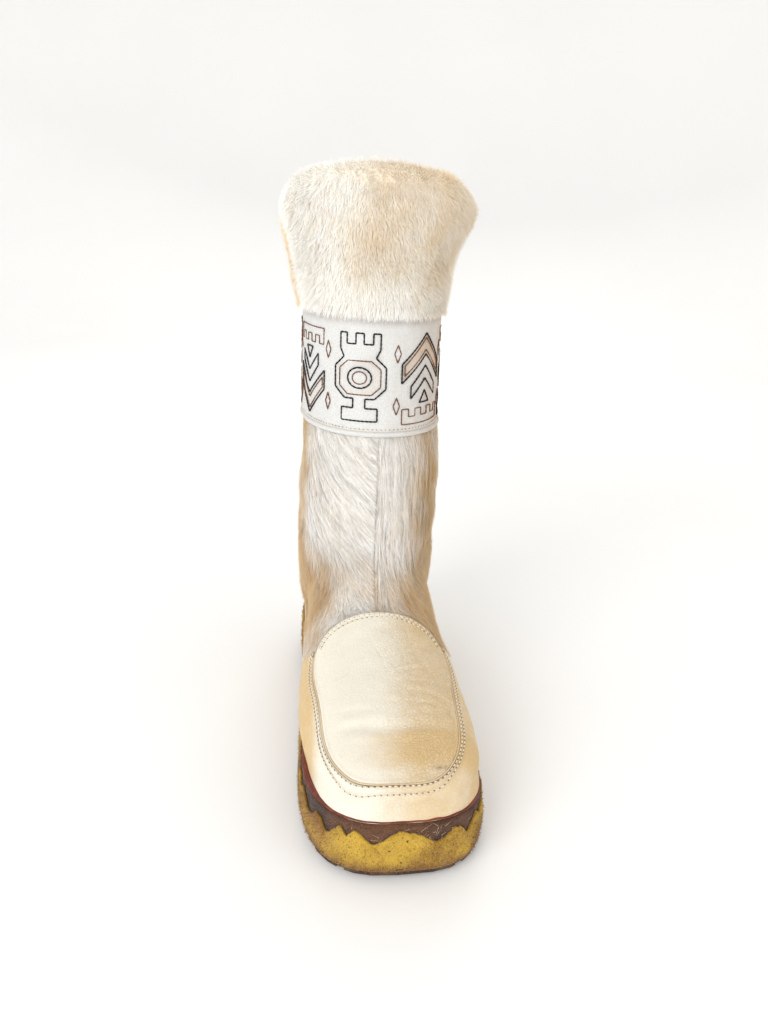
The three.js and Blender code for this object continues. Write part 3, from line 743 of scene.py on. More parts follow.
class Board:
    """The node tree of one material, with one method that makes any node."""

    def __init__(self, name: str) -> None:
        """Makes an empty material."""
        self.material = bpy.data.materials.new(name)
        self.material.use_nodes = True
        self.tree = self.material.node_tree
        self.tree.nodes.clear()

    def node(
        self, kind: str, settings: dict[str, Any], values: dict[Any, Any], output: int | str = 0
    ) -> Wire:
        """Adds a node, sets it up and links it.

        Args:
            kind: The node's type without ShaderNode.
            settings: Its own settings, which are set first.
            values: For each input, by name or number, a wire or a plain value.
            output: The output to return.

        Returns:
            The output as a wire.
        """
        made = self.tree.nodes.new("ShaderNode" + kind)
        for name, value in settings.items():
            setattr(made, name, value)
        for name, value in values.items():
            self._fill(made.inputs[name], value)
        return Wire(self, made.outputs[output])

    def _fill(self, socket: bpy.types.NodeSocket, value: Any) -> None:
        """Links a wire to an input, or sets a plain value, with an alpha of 1 after a colour's three numbers.

        Args:
            socket: The input.
            value: A wire, a number, a vector or a colour.
        """
        if isinstance(value, Wire):
            self.tree.links.new(value.socket, socket)
        elif socket.type == "RGBA" and len(value) == 3:
            socket.default_value = (*value, 1.0)
        else:
            socket.default_value = value

    def place(self) -> Wire:
        """Object coordinates."""
        return self.node("TexCoord", {}, {}, "Object")

    def part(self, axis: int) -> Wire:
        """One of the object coordinates as a number, in metres."""
        return self.node("SeparateXYZ", {}, {0: self.place()}, axis)

    def mark(self, name: str) -> Wire:
        """A number kept at the points of the mesh."""
        return self.node("Attribute", {"attribute_name": name}, {}, "Fac")

    def noise(
        self, scale: float, detail: float = 2.0, rough: float = 0.5, stretch: Sequence[float] = (1, 1, 1)
    ) -> Wire:
        """Noise between 0 and 1.

        Args:
            scale: How many waves there are in a metre.
            detail: How many finer layers it has.
            rough: How strong they are.
            stretch: A share for each axis. Where it is small, the noise is long.

        Returns:
            The noise as a wire.
        """
        place = self.node("VectorMath", {"operation": "MULTIPLY"}, {0: self.place(), 1: tuple(stretch)})
        values = {"Vector": place, "Scale": scale, "Detail": detail, "Roughness": rough}
        return self.node("TexNoise", {}, values)

    def veins(self, scale: float) -> Wire:
        """Distance to the nearest border between cells that are about 1 / scale metres wide."""
        settings = {"feature": "DISTANCE_TO_EDGE"}
        return self.node("TexVoronoi", settings, {"Vector": self.place(), "Scale": scale}, "Distance")

    def blend(self, share: Any, first: Any, second: Any) -> Wire:
        """A colour between two, from a Mix node.

        Args:
            share: 0 for the first colour and 1 for the second.
            first: A colour or a wire.
            second: A colour or a wire.

        Returns:
            The colour as a wire.
        """
        return self.node("Mix", {"data_type": "RGBA"}, {0: share, 6: first, 7: second}, 2)

    def finish(
        self, colour: Wire, rough: Any, height: Wire | None, depth: float, plain: dict[str, float]
    ) -> bpy.types.Material:
        """Ends the material in a Principled shader.

        Args:
            colour: Base colour.
            rough: Roughness, a wire or a number.
            height: Height field of the relief between 0 and 1, or nothing.
            depth: What a height of 1 stands for, in metres.
            plain: Values of further sockets that are the same all over.

        Returns:
            The material.
        """
        values: dict[str, Any] = {"Base Color": colour, "Roughness": rough, **plain}
        if height is not None:
            values["Normal"] = self.node("Bump", {}, {"Height": height, "Strength": 1.0, "Distance": depth})
        shader = self.node("BsdfPrincipled", {}, values)
        end = self.tree.nodes.new("ShaderNodeOutputMaterial")
        self.tree.links.new(shader.socket, end.inputs["Surface"])
        return self.material


@dataclass(frozen=True)
class Leather:
    """Smooth dyed leather with fine grain, soft wrinkles and a warm tone where its mark asks for one."""

    name: str
    light: Colour = srgb(228, 222, 207)
    warm: Colour = srgb(207, 178, 129)
    dirt: Colour = srgb(150, 112, 74)
    # Colour of the painted shade in seams, on hidden undersides and under the cuff, and of real scuffs.
    shade_and_scuff: Colour = srgb(112, 88, 66)
    wrinkle: float = 0.0011

    def material(self) -> bpy.types.Material:
        """Light to warm by the mark tone and cloudy noise, and darker by the mark dark: painted shade in
        seams, on hidden undersides and under the cuff, and real scuffs.
        """
        b = Board(self.name)
        cloud, mottle = b.noise(34, 4, 0.6), b.noise(210, 3, 0.6)
        pores, veins = b.noise(1100, 2, 0.6), b.veins(520)
        tone = b.mark("tone") + (cloud - 0.5) * 0.5 + (mottle - 0.5) * 0.35
        colour = b.blend(tone.step(0.0, 1.0), self.light, self.warm)
        colour = b.blend(b.noise(120, 5, 0.7).step(0.56, 0.8) * 0.16, colour, self.dirt)
        colour = b.blend(pores.step(0.58, 0.76) * 0.12, colour, self.dirt)
        colour = b.blend(veins.step(0.09, 0.0) * b.mark("fold") * 0.22, colour, self.dirt)
        # The mark dark paints shade into seams, hidden undersides and under the cuff, and lays on real
        # scuffs.
        colour = b.blend(b.mark("dark"), colour, self.shade_and_scuff)
        wrinkles = b.noise(300, 4, 0.66, (1, 0.7, 1)) * b.mark("fold") * 0.8
        wrinkles = wrinkles + veins.step(0.0, 0.16) * b.mark("fold") * 0.16 + pores * 0.12
        rough = 0.52 + (mottle - 0.5) * 0.35
        return b.finish(colour, rough, wrinkles, self.wrinkle, {"Specular IOR Level": 0.32})


@dataclass(frozen=True)
class Hair:
    """Hair of a hide or a fleece: pale to tan by the mark tone, greyer at the roots as painted shade deep in
    the coat, and in streaks by the mark shade.
    """

    name: str
    pale: Colour
    tan: Colour
    # Grey of the painted shade at the roots and in the streaks.
    root: Colour
    deep: float = 0.3
    streak: float = 0.3
    sheen: float = 0.3

    def material(self) -> bpy.types.Material:
        """Base colour from pale to tan, mixed with the root colour by the marks depth and shade: painted
        shade towards the roots, and wherever the mark shade asks.
        """
        b = Board(self.name)
        colour = b.blend(b.mark("tone"), self.pale, self.tan)
        colour = b.blend((1 - b.mark("depth")) * self.deep + b.mark("shade") * self.streak, colour, self.root)
        return b.finish(colour, 0.6, None, 0, {"Specular IOR Level": 0.3, "Sheen Weight": self.sheen})


@dataclass(frozen=True)
class Pelt:
    """The skin under hair, or a fleece too short to model hair by hair: streaky and soft."""

    name: str
    pale: Colour = srgb(236, 232, 224)
    tan: Colour = srgb(208, 178, 134)
    # Colour of the painted shade between the locks.
    dark: Colour = srgb(168, 150, 126)
    curl: float = 700.0
    relief: float = 0.0012

    def material(self) -> bpy.types.Material:
        """Pale to tan by the mark tone, with painted shade between the locks that a stretched noise draws."""
        b = Board(self.name)
        lock = b.noise(self.curl, 3, 0.65, (1, 1, 0.35))
        colour = b.blend(b.mark("tone"), self.pale, self.tan)
        colour = b.blend(lock.step(0.6, 0.25) * 0.5, colour, self.dark)
        return b.finish(colour, 0.9, lock, self.relief, {"Specular IOR Level": 0.1, "Sheen Weight": 0.3})


@dataclass(frozen=True)
class Felt:
    """Short-napped felt: flecked, darker towards its lower edge and both sides by the mark darkening, with
    dark specks of dirt.
    """

    name: str
    bright: Colour
    deep: Colour
    speck: Colour = srgb(60, 40, 26)

    def material(self) -> bpy.types.Material:
        """Bright to deep by fine and cloudy noise and by the marks darkening and shade."""
        b = Board(self.name)
        fine = b.noise(1500, 3, 0.7)
        cloud = b.noise(90, 4, 0.6)
        share = (fine - 0.5) * 1.6 + (cloud - 0.5) * 1.2 + b.mark("wear") * 0.9 + b.mark("shade") * 0.6
        colour = b.blend(share.step(-0.25, 1.1), self.bright, self.deep)
        colour = b.blend(b.noise(420, 2, 0.5).step(0.69, 0.76), colour, self.speck)
        return b.finish(colour, 0.95, fine, 0.0009, {"Specular IOR Level": 0.12, "Sheen Weight": 0.2})


@dataclass(frozen=True)
class Grained:
    """Grained leather or rubber of one colour, rubbed and dusty in patches."""

    name: str
    base: Colour
    rubbed: Colour
    dust: Colour = srgb(150, 132, 112)
    rough: float = 0.6
    grain: float = 900.0
    dusty: float = 0.35

    def material(self) -> bpy.types.Material:
        """Base to rubbed by cloudy noise, with dust in the hollows of the grain."""
        b = Board(self.name)
        grain = b.noise(self.grain, 4, 0.6)
        colour = b.blend(b.noise(150, 4, 0.6).step(0.42, 0.7), self.base, self.rubbed)
        colour = b.blend(b.noise(60, 5, 0.7).step(0.45, 0.8) * self.dusty, colour, self.dust)
        rough = self.rough + (grain - 0.5) * 0.3
        return b.finish(colour, rough, grain, 0.0004, {"Specular IOR Level": 0.3})


@dataclass(frozen=True)
class Thread:
    """Twisted sewing thread of one colour."""

    name: str
    colour: Colour
    # Colour of the painted shade in the hollows between the plies.
    gap: Colour

    def material(self) -> bpy.types.Material:
        """The thread's colour with painted shade in the hollows between its plies."""
        b = Board(self.name)
        ply = b.noise(2600, 2, 0.5)
        colour = b.blend(ply.step(0.6, 0.3), self.colour, self.gap)
        return b.finish(colour, 0.7, ply, 0.0003, {"Specular IOR Level": 0.25, "Sheen Weight": 0.1})


class Stitching:
    """Sewing on the boot: rows of short stitches with a dark bead between each two, painted shade of a needle
    hole.
    """

    def __init__(self, last: Last) -> None:
        """Keeps the form that stitches lie on, and the stitches and holes made so far."""
        self.last = last
        self.stitches: list[Solid] = []
        self.holes: list[Solid] = []

    def row(self, path: Array, proud: float, pitch: float, radius: float = 0.36, hole: float = 0.46) -> None:
        """Adds a row of stitches along a path on the shell.

        Args:
            path: Points along the row.
            proud: How far the leather's surface lies outside the shell.
            pitch: Length of a stitch with its gap.
            radius: Radius of the thread.
            hole: Half the length of a needle hole.
        """
        length = lengths(path)[-1]
        count = max(int(length / pitch), 1)
        starts = (np.arange(count) + 0.5) * length / count
        middle = self.last.seat(spread(path, starts), proud + 0.1)
        way = unit(spread(path, starts + 0.4) - spread(path, starts - 0.4))
        half = pitch * 0.3
        self.stitches.append(beads(middle - way * half, middle + way * half, radius))
        gap = self.last.seat(spread(path, starts + length / count / 2), proud)
        slant = unit(way + unit(np.cross(self.last.normal(gap), way)) * 0.7)
        # A dark bead painted as the shade of a needle hole.
        self.holes.append(beads(gap - slant * hole, gap + slant * hole, hole * 0.72))

    def build(self) -> None:
        """Makes the threads and the dark beads painted as shade in the needle holes two pieces."""
        cream = Thread("sewing_thread", srgb(238, 230, 212), srgb(190, 172, 140)).material()
        # The needle holes' colour is painted shade.
        pit = Thread("needle_hole_shade", srgb(142, 115, 88), srgb(98, 76, 54)).material()
        Solid.join(self.stitches).piece("leather_stitches", cream, "cream_leather")
        Solid.join(self.holes).piece("needle_hole_shade", pit, "cream_leather")


@dataclass
class Vamp:
    """The leather round the foot: the apron on top and the sidewall round it, with the seam between them and
    their sewing.
    """

    last: Last
    line: SoleLine
    sewing: Stitching
    apron_skin: float = 1.5
    sidewall_skin: float = 1.9
    under: float = 0.3
    round_apron: int = 300
    round_sidewall: int = 460
    hub: tuple[float, float] = (0.0, 140.0)
    split: float = 97.0
    welt_height: float = 1.35
    welt_radius: float = 0.42
    apron_seams: tuple[float, float] = (2.0, 4.1)
    sidewall_seams: tuple[float, float] = (1.7, 3.5)
    heel_seam: float = 1.9
    apron_stitch: float = 2.9
    sidewall_stitch: float = 2.8

    def lifted(self, x: Array, t: Array) -> Array:
        """Points of the shell above places in plan, found by halving a span of heights again and again.

        Args:
            x: Places across.
            t: Stations.

        Returns:
            Points with x, t and z on the last axis.
        """
        low, high = np.full(x.shape, 45.0), np.full(x.shape, 125.0)
        for _ in range(24):
            half = (low + high) / 2
            inside = self.last.distance(np.stack([x, t, half], -1)) < 0
            low, high = np.where(inside, half, low), np.where(inside, high, half)
        return np.stack([x, t, low], -1)

    def outline(self) -> Array:
        """The apron's closed edge on the shell, rounded, from the middle of its arch round the outer side.

        Returns:
            Points evenly spaced, with x, t and z on the last axis.
        """
        t, half = np.array(APRON_WIDTHS).T
        outer, inner = self.lifted(half, t), self.lifted(-half, t)[::-1]
        arch = self.lifted(np.array([0.0, 9.0]), np.array([83.3, 83.6]))
        other = arch[1:] * np.array([-1, 1, 1])
        toe = np.array([(x, *APRON_TOE) for x in (15.0, 8.0, 0.0, -8.0, -15.0)])
        toe = self.last.seat(toe, 0.0)
        toe[:, 2] = APRON_TOE[1]
        loop = np.concatenate([arch, outer, toe, inner, other, arch[:1]])
        points = spread(loop, np.linspace(0, lengths(loop)[-1], self.round_apron, endpoint=False))
        for _ in range(self.round_apron // 11):
            points = softened(points)
        return points

    def between(self, low: Array, high: Array, shares: Array, proud: float) -> Array:
        """Rings on the way from one ring or point to another, laid on the shell.

        Args:
            low: The ring or point at a share of 0.
            high: The ring at a share of 1.
            shares: Where the rings lie between them.
            proud: Their distance outside the shell.

        Returns:
            A ring for each share.
        """
        return self.last.seat(low + (high - low) * shares[:, None, None], proud, 5)

    @staticmethod
    def creases(place: Array) -> Array:
        """Height of the apron's folds: soft troughs along lines in plan, each fading at its ends.

        Args:
            place: Points of the apron.

        Returns:
            What is added to the leather's height, in millimetres.
        """
        x, t = place[..., 0], place[..., 1]
        total = ripple(place, 16, 5) * 0.2 + ripple(place, 5, 6) * 0.1 * rise(-10, 18, x)
        drift = ripple(place, 26, 9) * 1.2
        for x0, t0, x1, t1, depth, width in CREASES:
            length = math.hypot(x1 - x0, t1 - t0)
            ux, ut = (x1 - x0) / length, (t1 - t0) / length
            along = (x - x0) * ux + (t - t0) * ut
            off = (x - x0) * ut - (t - t0) * ux + drift
            fade = rise(-6, 8, along) * rise(-6, 8, length - along)
            total = total - depth * fade * (bump(off, width) - 0.45 * bump(off - 2 * width, width))
        return total

    @staticmethod
    def tone(place: Array) -> Array:
        """How tan the leather is: white inside on top, warmer outwards, at the toe and towards the heel. The
        warmth outwards and at the toe is partly the leather's tan and partly painted shade.
        """
        x, t = place[..., 0], place[..., 1]
        # Warmer outwards and at the toe: partly tan leather, partly painted shade where the leather turns
        # from the key light.
        across = rise(-14, 22, x + 0.12 * (t - 140)) * 0.68
        inner = rise(-34, -42, x) * 0.9 * rise(190, 165, t)
        toe = rise(164, 172, t) * rise(192, 182, t) * rise(-34, -8, x) * 0.3
        return np.clip(across + inner + toe + 0.5 * rise(60, 0, t), 0, 1)

    def build(self) -> None:
        """Makes the apron, the sidewall and the welt between them, and sews them."""
        finish = Leather("cream_leather").material()
        loop = self.outline()
        self.build_apron(loop, finish)
        front = self.build_sidewall(loop, finish)
        cord = Leather("seam_edge", srgb(226, 210, 180), srgb(190, 156, 110)).material()
        welt = tube(self.last.seat(front, self.welt_height), self.welt_radius)
        plain = {"tone": 0.4, "dark": 0.0, "fold": 0.2}
        welt.marks = {name: np.full(len(welt.points), value) for name, value in plain.items()}
        welt.piece("apron_welt", cord, "cream_leather")

    def build_apron(self, loop: Array, finish: bpy.types.Material) -> None:
        """Makes the apron: rings from its middle to its edge over the top and back underneath.

        Args:
            loop: The apron's edge.
            finish: The leather's material.
        """
        hub = self.lifted(*np.array(self.hub)[:, None])[0]
        shares = np.concatenate([np.linspace(0.012, 0.9, 36), np.linspace(0.915, 1, 13)])
        top = self.between(hub, loop, shares, 0.0)
        in_from_edge = np.linalg.norm(top - top[-1:], axis=-1)
        ridge = 0.3 * bump(in_from_edge - 1.3, 0.9) - 0.9 * bump(in_from_edge, 0.4)
        relief = self.creases(top) * rise(0.5, 5, in_from_edge) + ridge
        over = top + self.last.normal(top) * (self.apron_skin + relief)[..., None]
        under = self.between(hub, loop, np.array([1.0, 0.8, 0.45, 0.012]), self.under)
        rings = np.concatenate([over, under])
        # Painted shade along the apron's sunk edge at the seam. The scuff below is a real mark.
        dark = 0.75 * bump(in_from_edge, 0.36)
        scuff = 0.75 * bump(top[..., 0] - 21.5, 4.2) * bump(top[..., 1] - 189.5, 0.9)
        pad = np.zeros(under.shape[:2])
        fold = 0.25 + 0.75 * rise(-14, 14, top[..., 0])
        marks = {
            "tone": np.concatenate([self.tone(top), pad]),
            # The hidden underside is painted dark as shade.
            "dark": np.concatenate([np.clip(dark + scuff * (0.6 + 0.4 * ripple(top, 3, 3)), 0, 1), pad + 1]),
            "fold": np.concatenate([fold, pad]),
        }
        ring_solid(rings, closed=False, marks=marks).piece("vamp_apron", finish, "cream_leather", ("apron",))
        arch = loop[loop[:, 1] < self.split]
        arch = arch[np.argsort(arch[:, 0])]
        for inset in self.apron_seams:
            seam = self.last.seat(arch + unit(hub - arch) * inset, 0.0)
            self.sewing.row(seam, self.apron_skin + 0.1, self.apron_stitch)

    def build_sidewall(self, loop: Array, finish: bpy.types.Material) -> Array:
        """Makes the sidewall: rows from the sole up to its top edge, over it and down behind.

        Args:
            loop: The apron's edge.
            finish: The leather's material.

        Returns:
            The part of the apron's edge that the sidewall meets, from its outer to its inner end.
        """
        plan = self.line.at(self.line.even(self.round_sidewall), 7.8)
        t = plan[:, 1]
        bottom = np.stack([plan[:, 0], t, self.last.platform(t) + 0.6], -1)
        bottom = self.last.seat(bottom, 0.0)
        forward = t >= self.split
        front = loop[loop[:, 1] >= self.split]
        order = np.roll(np.arange(len(t)), -int(np.argmax(~forward)))
        run = order[forward[order]][::-1]
        walk = lengths(bottom[run])
        met = spread(front, walk / walk[-1] * lengths(front)[-1])
        top = np.stack([plan[:, 0], t, self.last.edge(t)], -1)
        top[~forward] = self.last.seat(top[~forward], 0.0)
        top[~forward, 2] = self.last.edge(t[~forward])
        top[run] = met
        near = np.abs(t - self.split) < 14
        for _ in range(10):
            top[near] = softened(top)[near]
        shares = np.concatenate([np.linspace(0, 0.86, 24), np.linspace(0.88, 0.992, 12)])
        face = self.between(bottom, top, shares, 0.0)
        behind = self.between(bottom, top, np.array([0.992, 0.6, 0.25, 0.0]), self.under)
        down, up = (np.linalg.norm(face - end, axis=-1) for end in (face[-1:], face[:1]))
        puff = 0.35 * bump(down - 1.3, 1.0) - 1.1 * bump(down, 0.45) - 1.1 * bump(up, 0.8)
        puff = puff + ripple(face, 22, 31) * 0.22 * rise(1, 6, down)
        hang = 0.9 * rise(8, 1.5, up) + 2.3 * Sole.toe(face) * rise(11, 2, up)
        hang = hang + 2.7 * self.line.waist(face) * rise(22, 5, up)
        puff = puff + hang * rise(-60, 20, face[..., 1])
        over = face + self.last.normal(face) * (self.sidewall_skin + puff)[..., None]
        pad = np.zeros(behind.shape[:2])
        # Painted shade along the top edge at the seam and along the lower edge that hangs over the rand.
        dark = np.clip(0.8 * bump(down, 0.4) + 0.4 * bump(up, 1.0), 0, 1)
        marks = {
            "tone": np.concatenate([self.tone(face), pad]),
            # The hidden back is painted dark as shade.
            "dark": np.concatenate([dark, pad + 1]),
            "fold": np.concatenate([np.full(face.shape[:2], 0.45), pad]),
        }
        body = ring_solid(np.concatenate([over, behind]), marks=marks)
        body.piece("sidewall_leather", finish, "cream_leather", ("sidewall",))
        rear = np.roll(np.arange(len(t)), -int(np.argmin(t)) + len(t) // 2)
        rear = rear[~forward[rear]]
        seams = [met + unit(bottom[run] - met) * inset for inset in self.sidewall_seams]
        seams.append(top[rear] + unit(bottom[rear] - top[rear]) * self.heel_seam)
        for seam in seams:
            self.sewing.row(self.last.seat(seam, 0.0), self.sidewall_skin + 0.2, self.sidewall_stitch)
        return front


@dataclass
class Shaft:
    """The hair-on hide of the shaft and instep, with the woolly lining inside."""

    last: Last
    rows: int = 101
    count: int = 224
    wall: float = 3.0
    hairs: int = 34000
    seam: float = -0.8
    hair_top: float = 197.0
    radius: float = 52.0

    @staticmethod
    def tone(place: Array) -> Array:
        """How tan the hide is: white in front, tan at the sides, cream and tan in patches behind. The tan at
        the sides is partly the hide's colour and partly painted shade.
        """
        turn, z = turn_of(place), place[..., 2]
        patch = ripple(place, 60, 21) * 0.28 + ripple(place, 22, 22) * 0.14
        # Tan towards the outer side and on the inner side's far strip: partly the hide's colour, partly
        # painted shade and shadow.
        outer = rise(-0.1, 0.95, turn) * 0.95
        inner = rise(-0.88, -1.25, turn) * 0.95
        behind = rise(1.2, 1.8, np.abs(turn)) * rise(100, 140, z) + rise(2.0, 2.6, np.abs(turn))
        patch = patch * (1 - 0.7 * rise(0.9, 0.4, np.abs(turn + 0.2)) * rise(100, 125, z))
        low = rise(130, 92, z) * (0.42 + 0.3 * rise(0.1, 0.5, turn) + 0.3 * rise(-0.4, -0.8, turn))
        flank = 0.4 * rise(22, 32, np.abs(place[..., 0])) * rise(104, 88, z)
        return np.clip(outer + inner - 0.3 * behind + low + flank + patch, 0, 1)

    @staticmethod
    def folds(place: Array) -> Array:
        """Ankle folds: soft troughs sunk along slanting lines, most of them in front and at both sides."""
        turn, z = turn_of(place), place[..., 2]
        total = ripple(place, 40, 11) * 0.7
        for middle, level, slant, depth, width, reach in FOLDS:
            apart = np.arctan2(np.sin(turn - middle), np.cos(turn - middle))
            total = total - depth * bump(apart, reach) * bump(z - (level + slant * apart), width)
        return total

    def open_hide(self, place: Array) -> Array:
        """1 on hide that is free to fold, fading to 0 at the sidewall, the apron and the band."""
        x, t, z = place[..., 0], place[..., 1], place[..., 2]
        free = rise(0, 14, z - self.last.edge(t)) * rise(196, 184, z)
        return free * rise(0, 12, 84 - t + 40 * rise(30, 44, np.abs(x)))

    def build(self) -> None:
        """Makes the hide with its lining, then the hair on both panels."""
        skin = self.last.rings(np.linspace(0, len(RINGS) - 1, self.rows), self.count)
        out = self.last.normal(skin)
        out[[0, -1], :, 2] = 0
        out = unit(out)
        open_hide = self.open_hide(skin)
        dent = np.minimum(self.folds(skin) * open_hide, 0.6)
        parting = bump(skin[..., 0] - self.seam, 0.9) * (np.abs(turn_of(skin)) < 1.2) * open_hide
        over = skin + out * (dent - parting * 1.2)[..., None]
        lining = (skin - out * self.wall)[::-4]
        rings = np.concatenate([over, lining])
        lined = np.full(lining.shape[:2], 0.25)
        marks = {"tone": np.concatenate([self.tone(over), lined])}
        pelt = Pelt("hide_and_lining").material()
        ring_solid(rings, marks=marks).piece("hide_shell", pelt, "hair_hide", ("upper",))
        cover = self.last.bare(skin) & (skin[..., 2] < self.hair_top)
        # root: grey of the painted shade at the roots and between the locks.
        pale, tan, root = srgb(255, 254, 252), srgb(208, 174, 124), srgb(152, 145, 135)
        finish = Hair("hide_hair", pale, tan, root, deep=0.1, streak=0.56).material()
        for name, side, seed in (("hair_outer", 1, 71), ("hair_inner", -1, 72)):
            keep = 1.0 * (cover & (np.sign(skin[..., 0] - self.seam) == side))
            self.comb(over, keep, seed, side).piece(name, finish, "hair_hide")

    @staticmethod
    def tilt(root: Array, side: int) -> Array:
        """How far the hair of a panel turns from straight down towards the outer side.

        Args:
            root: Roots of the hairs.
            side: 1 for the outer panel and -1 for the inner one.

        Returns:
            An angle for each hair.
        """
        turn, z = turn_of(root), root[:, 2]
        if side > 0:
            return 0.6 * rise(122, 96, z) * rise(0.35, 0.8, turn) * rise(2.0, 1.3, turn)
        front = 0.8 * rise(-1.3, -0.8, turn) * (0.6 + 0.4 * rise(85, 125, z))
        return front + 0.12 * rise(-1.5, -2.2, turn)

    def trimmed(self, root: Array, stroke: Array, side: int, rng: np.random.Generator) -> Array:
        """How much of each hair stays so that it neither crosses the parting nor leaves the bare hide.

        Args:
            root: Roots of the hairs.
            stroke: From each root to the tip of its full length.
            side: 1 for the outer panel and -1 for the inner one.
            rng: Where the random overlap over the leather's edge comes from.

        Returns:
            A share of the length for each hair.
        """
        shares = np.linspace(0.1, 1, 10)
        probe = self.last.seat(root[:, None] + stroke[:, None] * shares[:, None], 0.5, 1)
        over_seam = ((probe[..., 0] - self.seam) * side < 0.1) & (np.abs(turn_of(probe)) < 1.3)
        reach = rng.uniform(0.5, 3.2, (len(root), 1, 1)) * np.array([0, -1.0, 0.8])
        crossed = ~self.last.bare(probe + reach) | over_seam
        first = np.where(crossed.any(1), shares[np.argmax(crossed, 1)], 1.05)
        return np.clip(first - 0.05, 0.1, 1)

    def comb(self, skin: Array, keep: Array, seed: int, side: int) -> Solid:
        """Hair of one panel, which lies along the hide, turned from straight down and drawn into locks.

        Args:
            skin: The hide's grid.
            keep: Where hair grows.
            seed: Seed of the panel.
            side: 1 for the outer panel and -1 for the inner one.

        Returns:
            The hairs.
        """
        rng = np.random.default_rng(seed)
        root, normal, _ = scatter(skin, self.hairs, seed, keep)
        count, turn, z = len(root), turn_of(root), root[:, 2]
        tilt = self.tilt(root, side)
        wave = ripple(root, 30, seed) * 0.12
        run = turn * self.radius
        across_lock = (run * np.cos(tilt) + z * np.sin(tilt)) / 2.0 + wave * 4
        along_lock = (z * np.cos(tilt) - run * np.sin(tilt)) / 17
        lock = lattice(across_lock, along_lock, seed + 1)
        fine = lattice(across_lock * 1.7, along_lock * 1.1, seed + 2)
        wisp = lattice(across_lock * 2.9, along_lock * 0.9 + 7, seed + 3)
        right, left = (lattice(across_lock + step, along_lock, seed + 1) for step in (0.5, -0.5))
        tilt = tilt + wave + (right - left) * 0.3 + rng.normal(0, 0.035, count)
        up = np.array([0, 0, 1.0])
        down = unit(-up + normal * normal[:, 2:3])
        across = unit(np.cross(normal, up))
        way = down * np.cos(tilt)[:, None] + across * np.sin(tilt)[:, None]
        length = rng.uniform(10, 18, count) * (0.6 + 0.4 * rise(95, 130, z))
        length = length * self.trimmed(root, way * length[:, None], side, rng)
        tip = self.last.seat(root + way * length[:, None], 0.0, 2)
        odd = rng.uniform(size=count)
        single = np.where(odd < 0.09, 0.85, np.where(odd > 0.85, -0.8, 0.0))
        lift = 0.6 + lock * 0.5 + fine * 0.7 + wisp * 0.5 + rng.uniform(0, 0.4, count)
        lift = lift + 0.4 * (np.abs(single) > 0.5) + np.where(self.last.bare(tip), 0.0, 1.7)
        sunk = np.minimum(self.folds(tip) * self.open_hide(tip), 0.6)
        tip = tip + self.last.normal(tip) * (lift + sunk)[:, None]
        tone = np.clip(self.tone(root) + (fine - 0.5) * 0.3 + rng.normal(0, 0.1, count), 0, 1)
        # Painted shade in the furrows between the locks, and painted shadow on the inner panel's far strip.
        # The single darker and lighter hairs differ at random.
        furrow = rise(0.4, 0.16, fine) * 0.75 + rise(0.42, 0.2, wisp) * 0.6 + rise(0.3, 0.12, lock) * 0.3
        furrow = furrow * (0.55 + 0.45 * rise(92, 125, z)) + 0.22 * rise(-0.85, -1.2, turn) * (side < 0)
        shade = np.clip(furrow + single + rng.uniform(-0.1, 0.15, count), 0, 1)
        width = rng.uniform(0.28, 0.46, count)
        return strands(root - normal * 0.4, tip, width, normal, tone=tone, shade=shade)


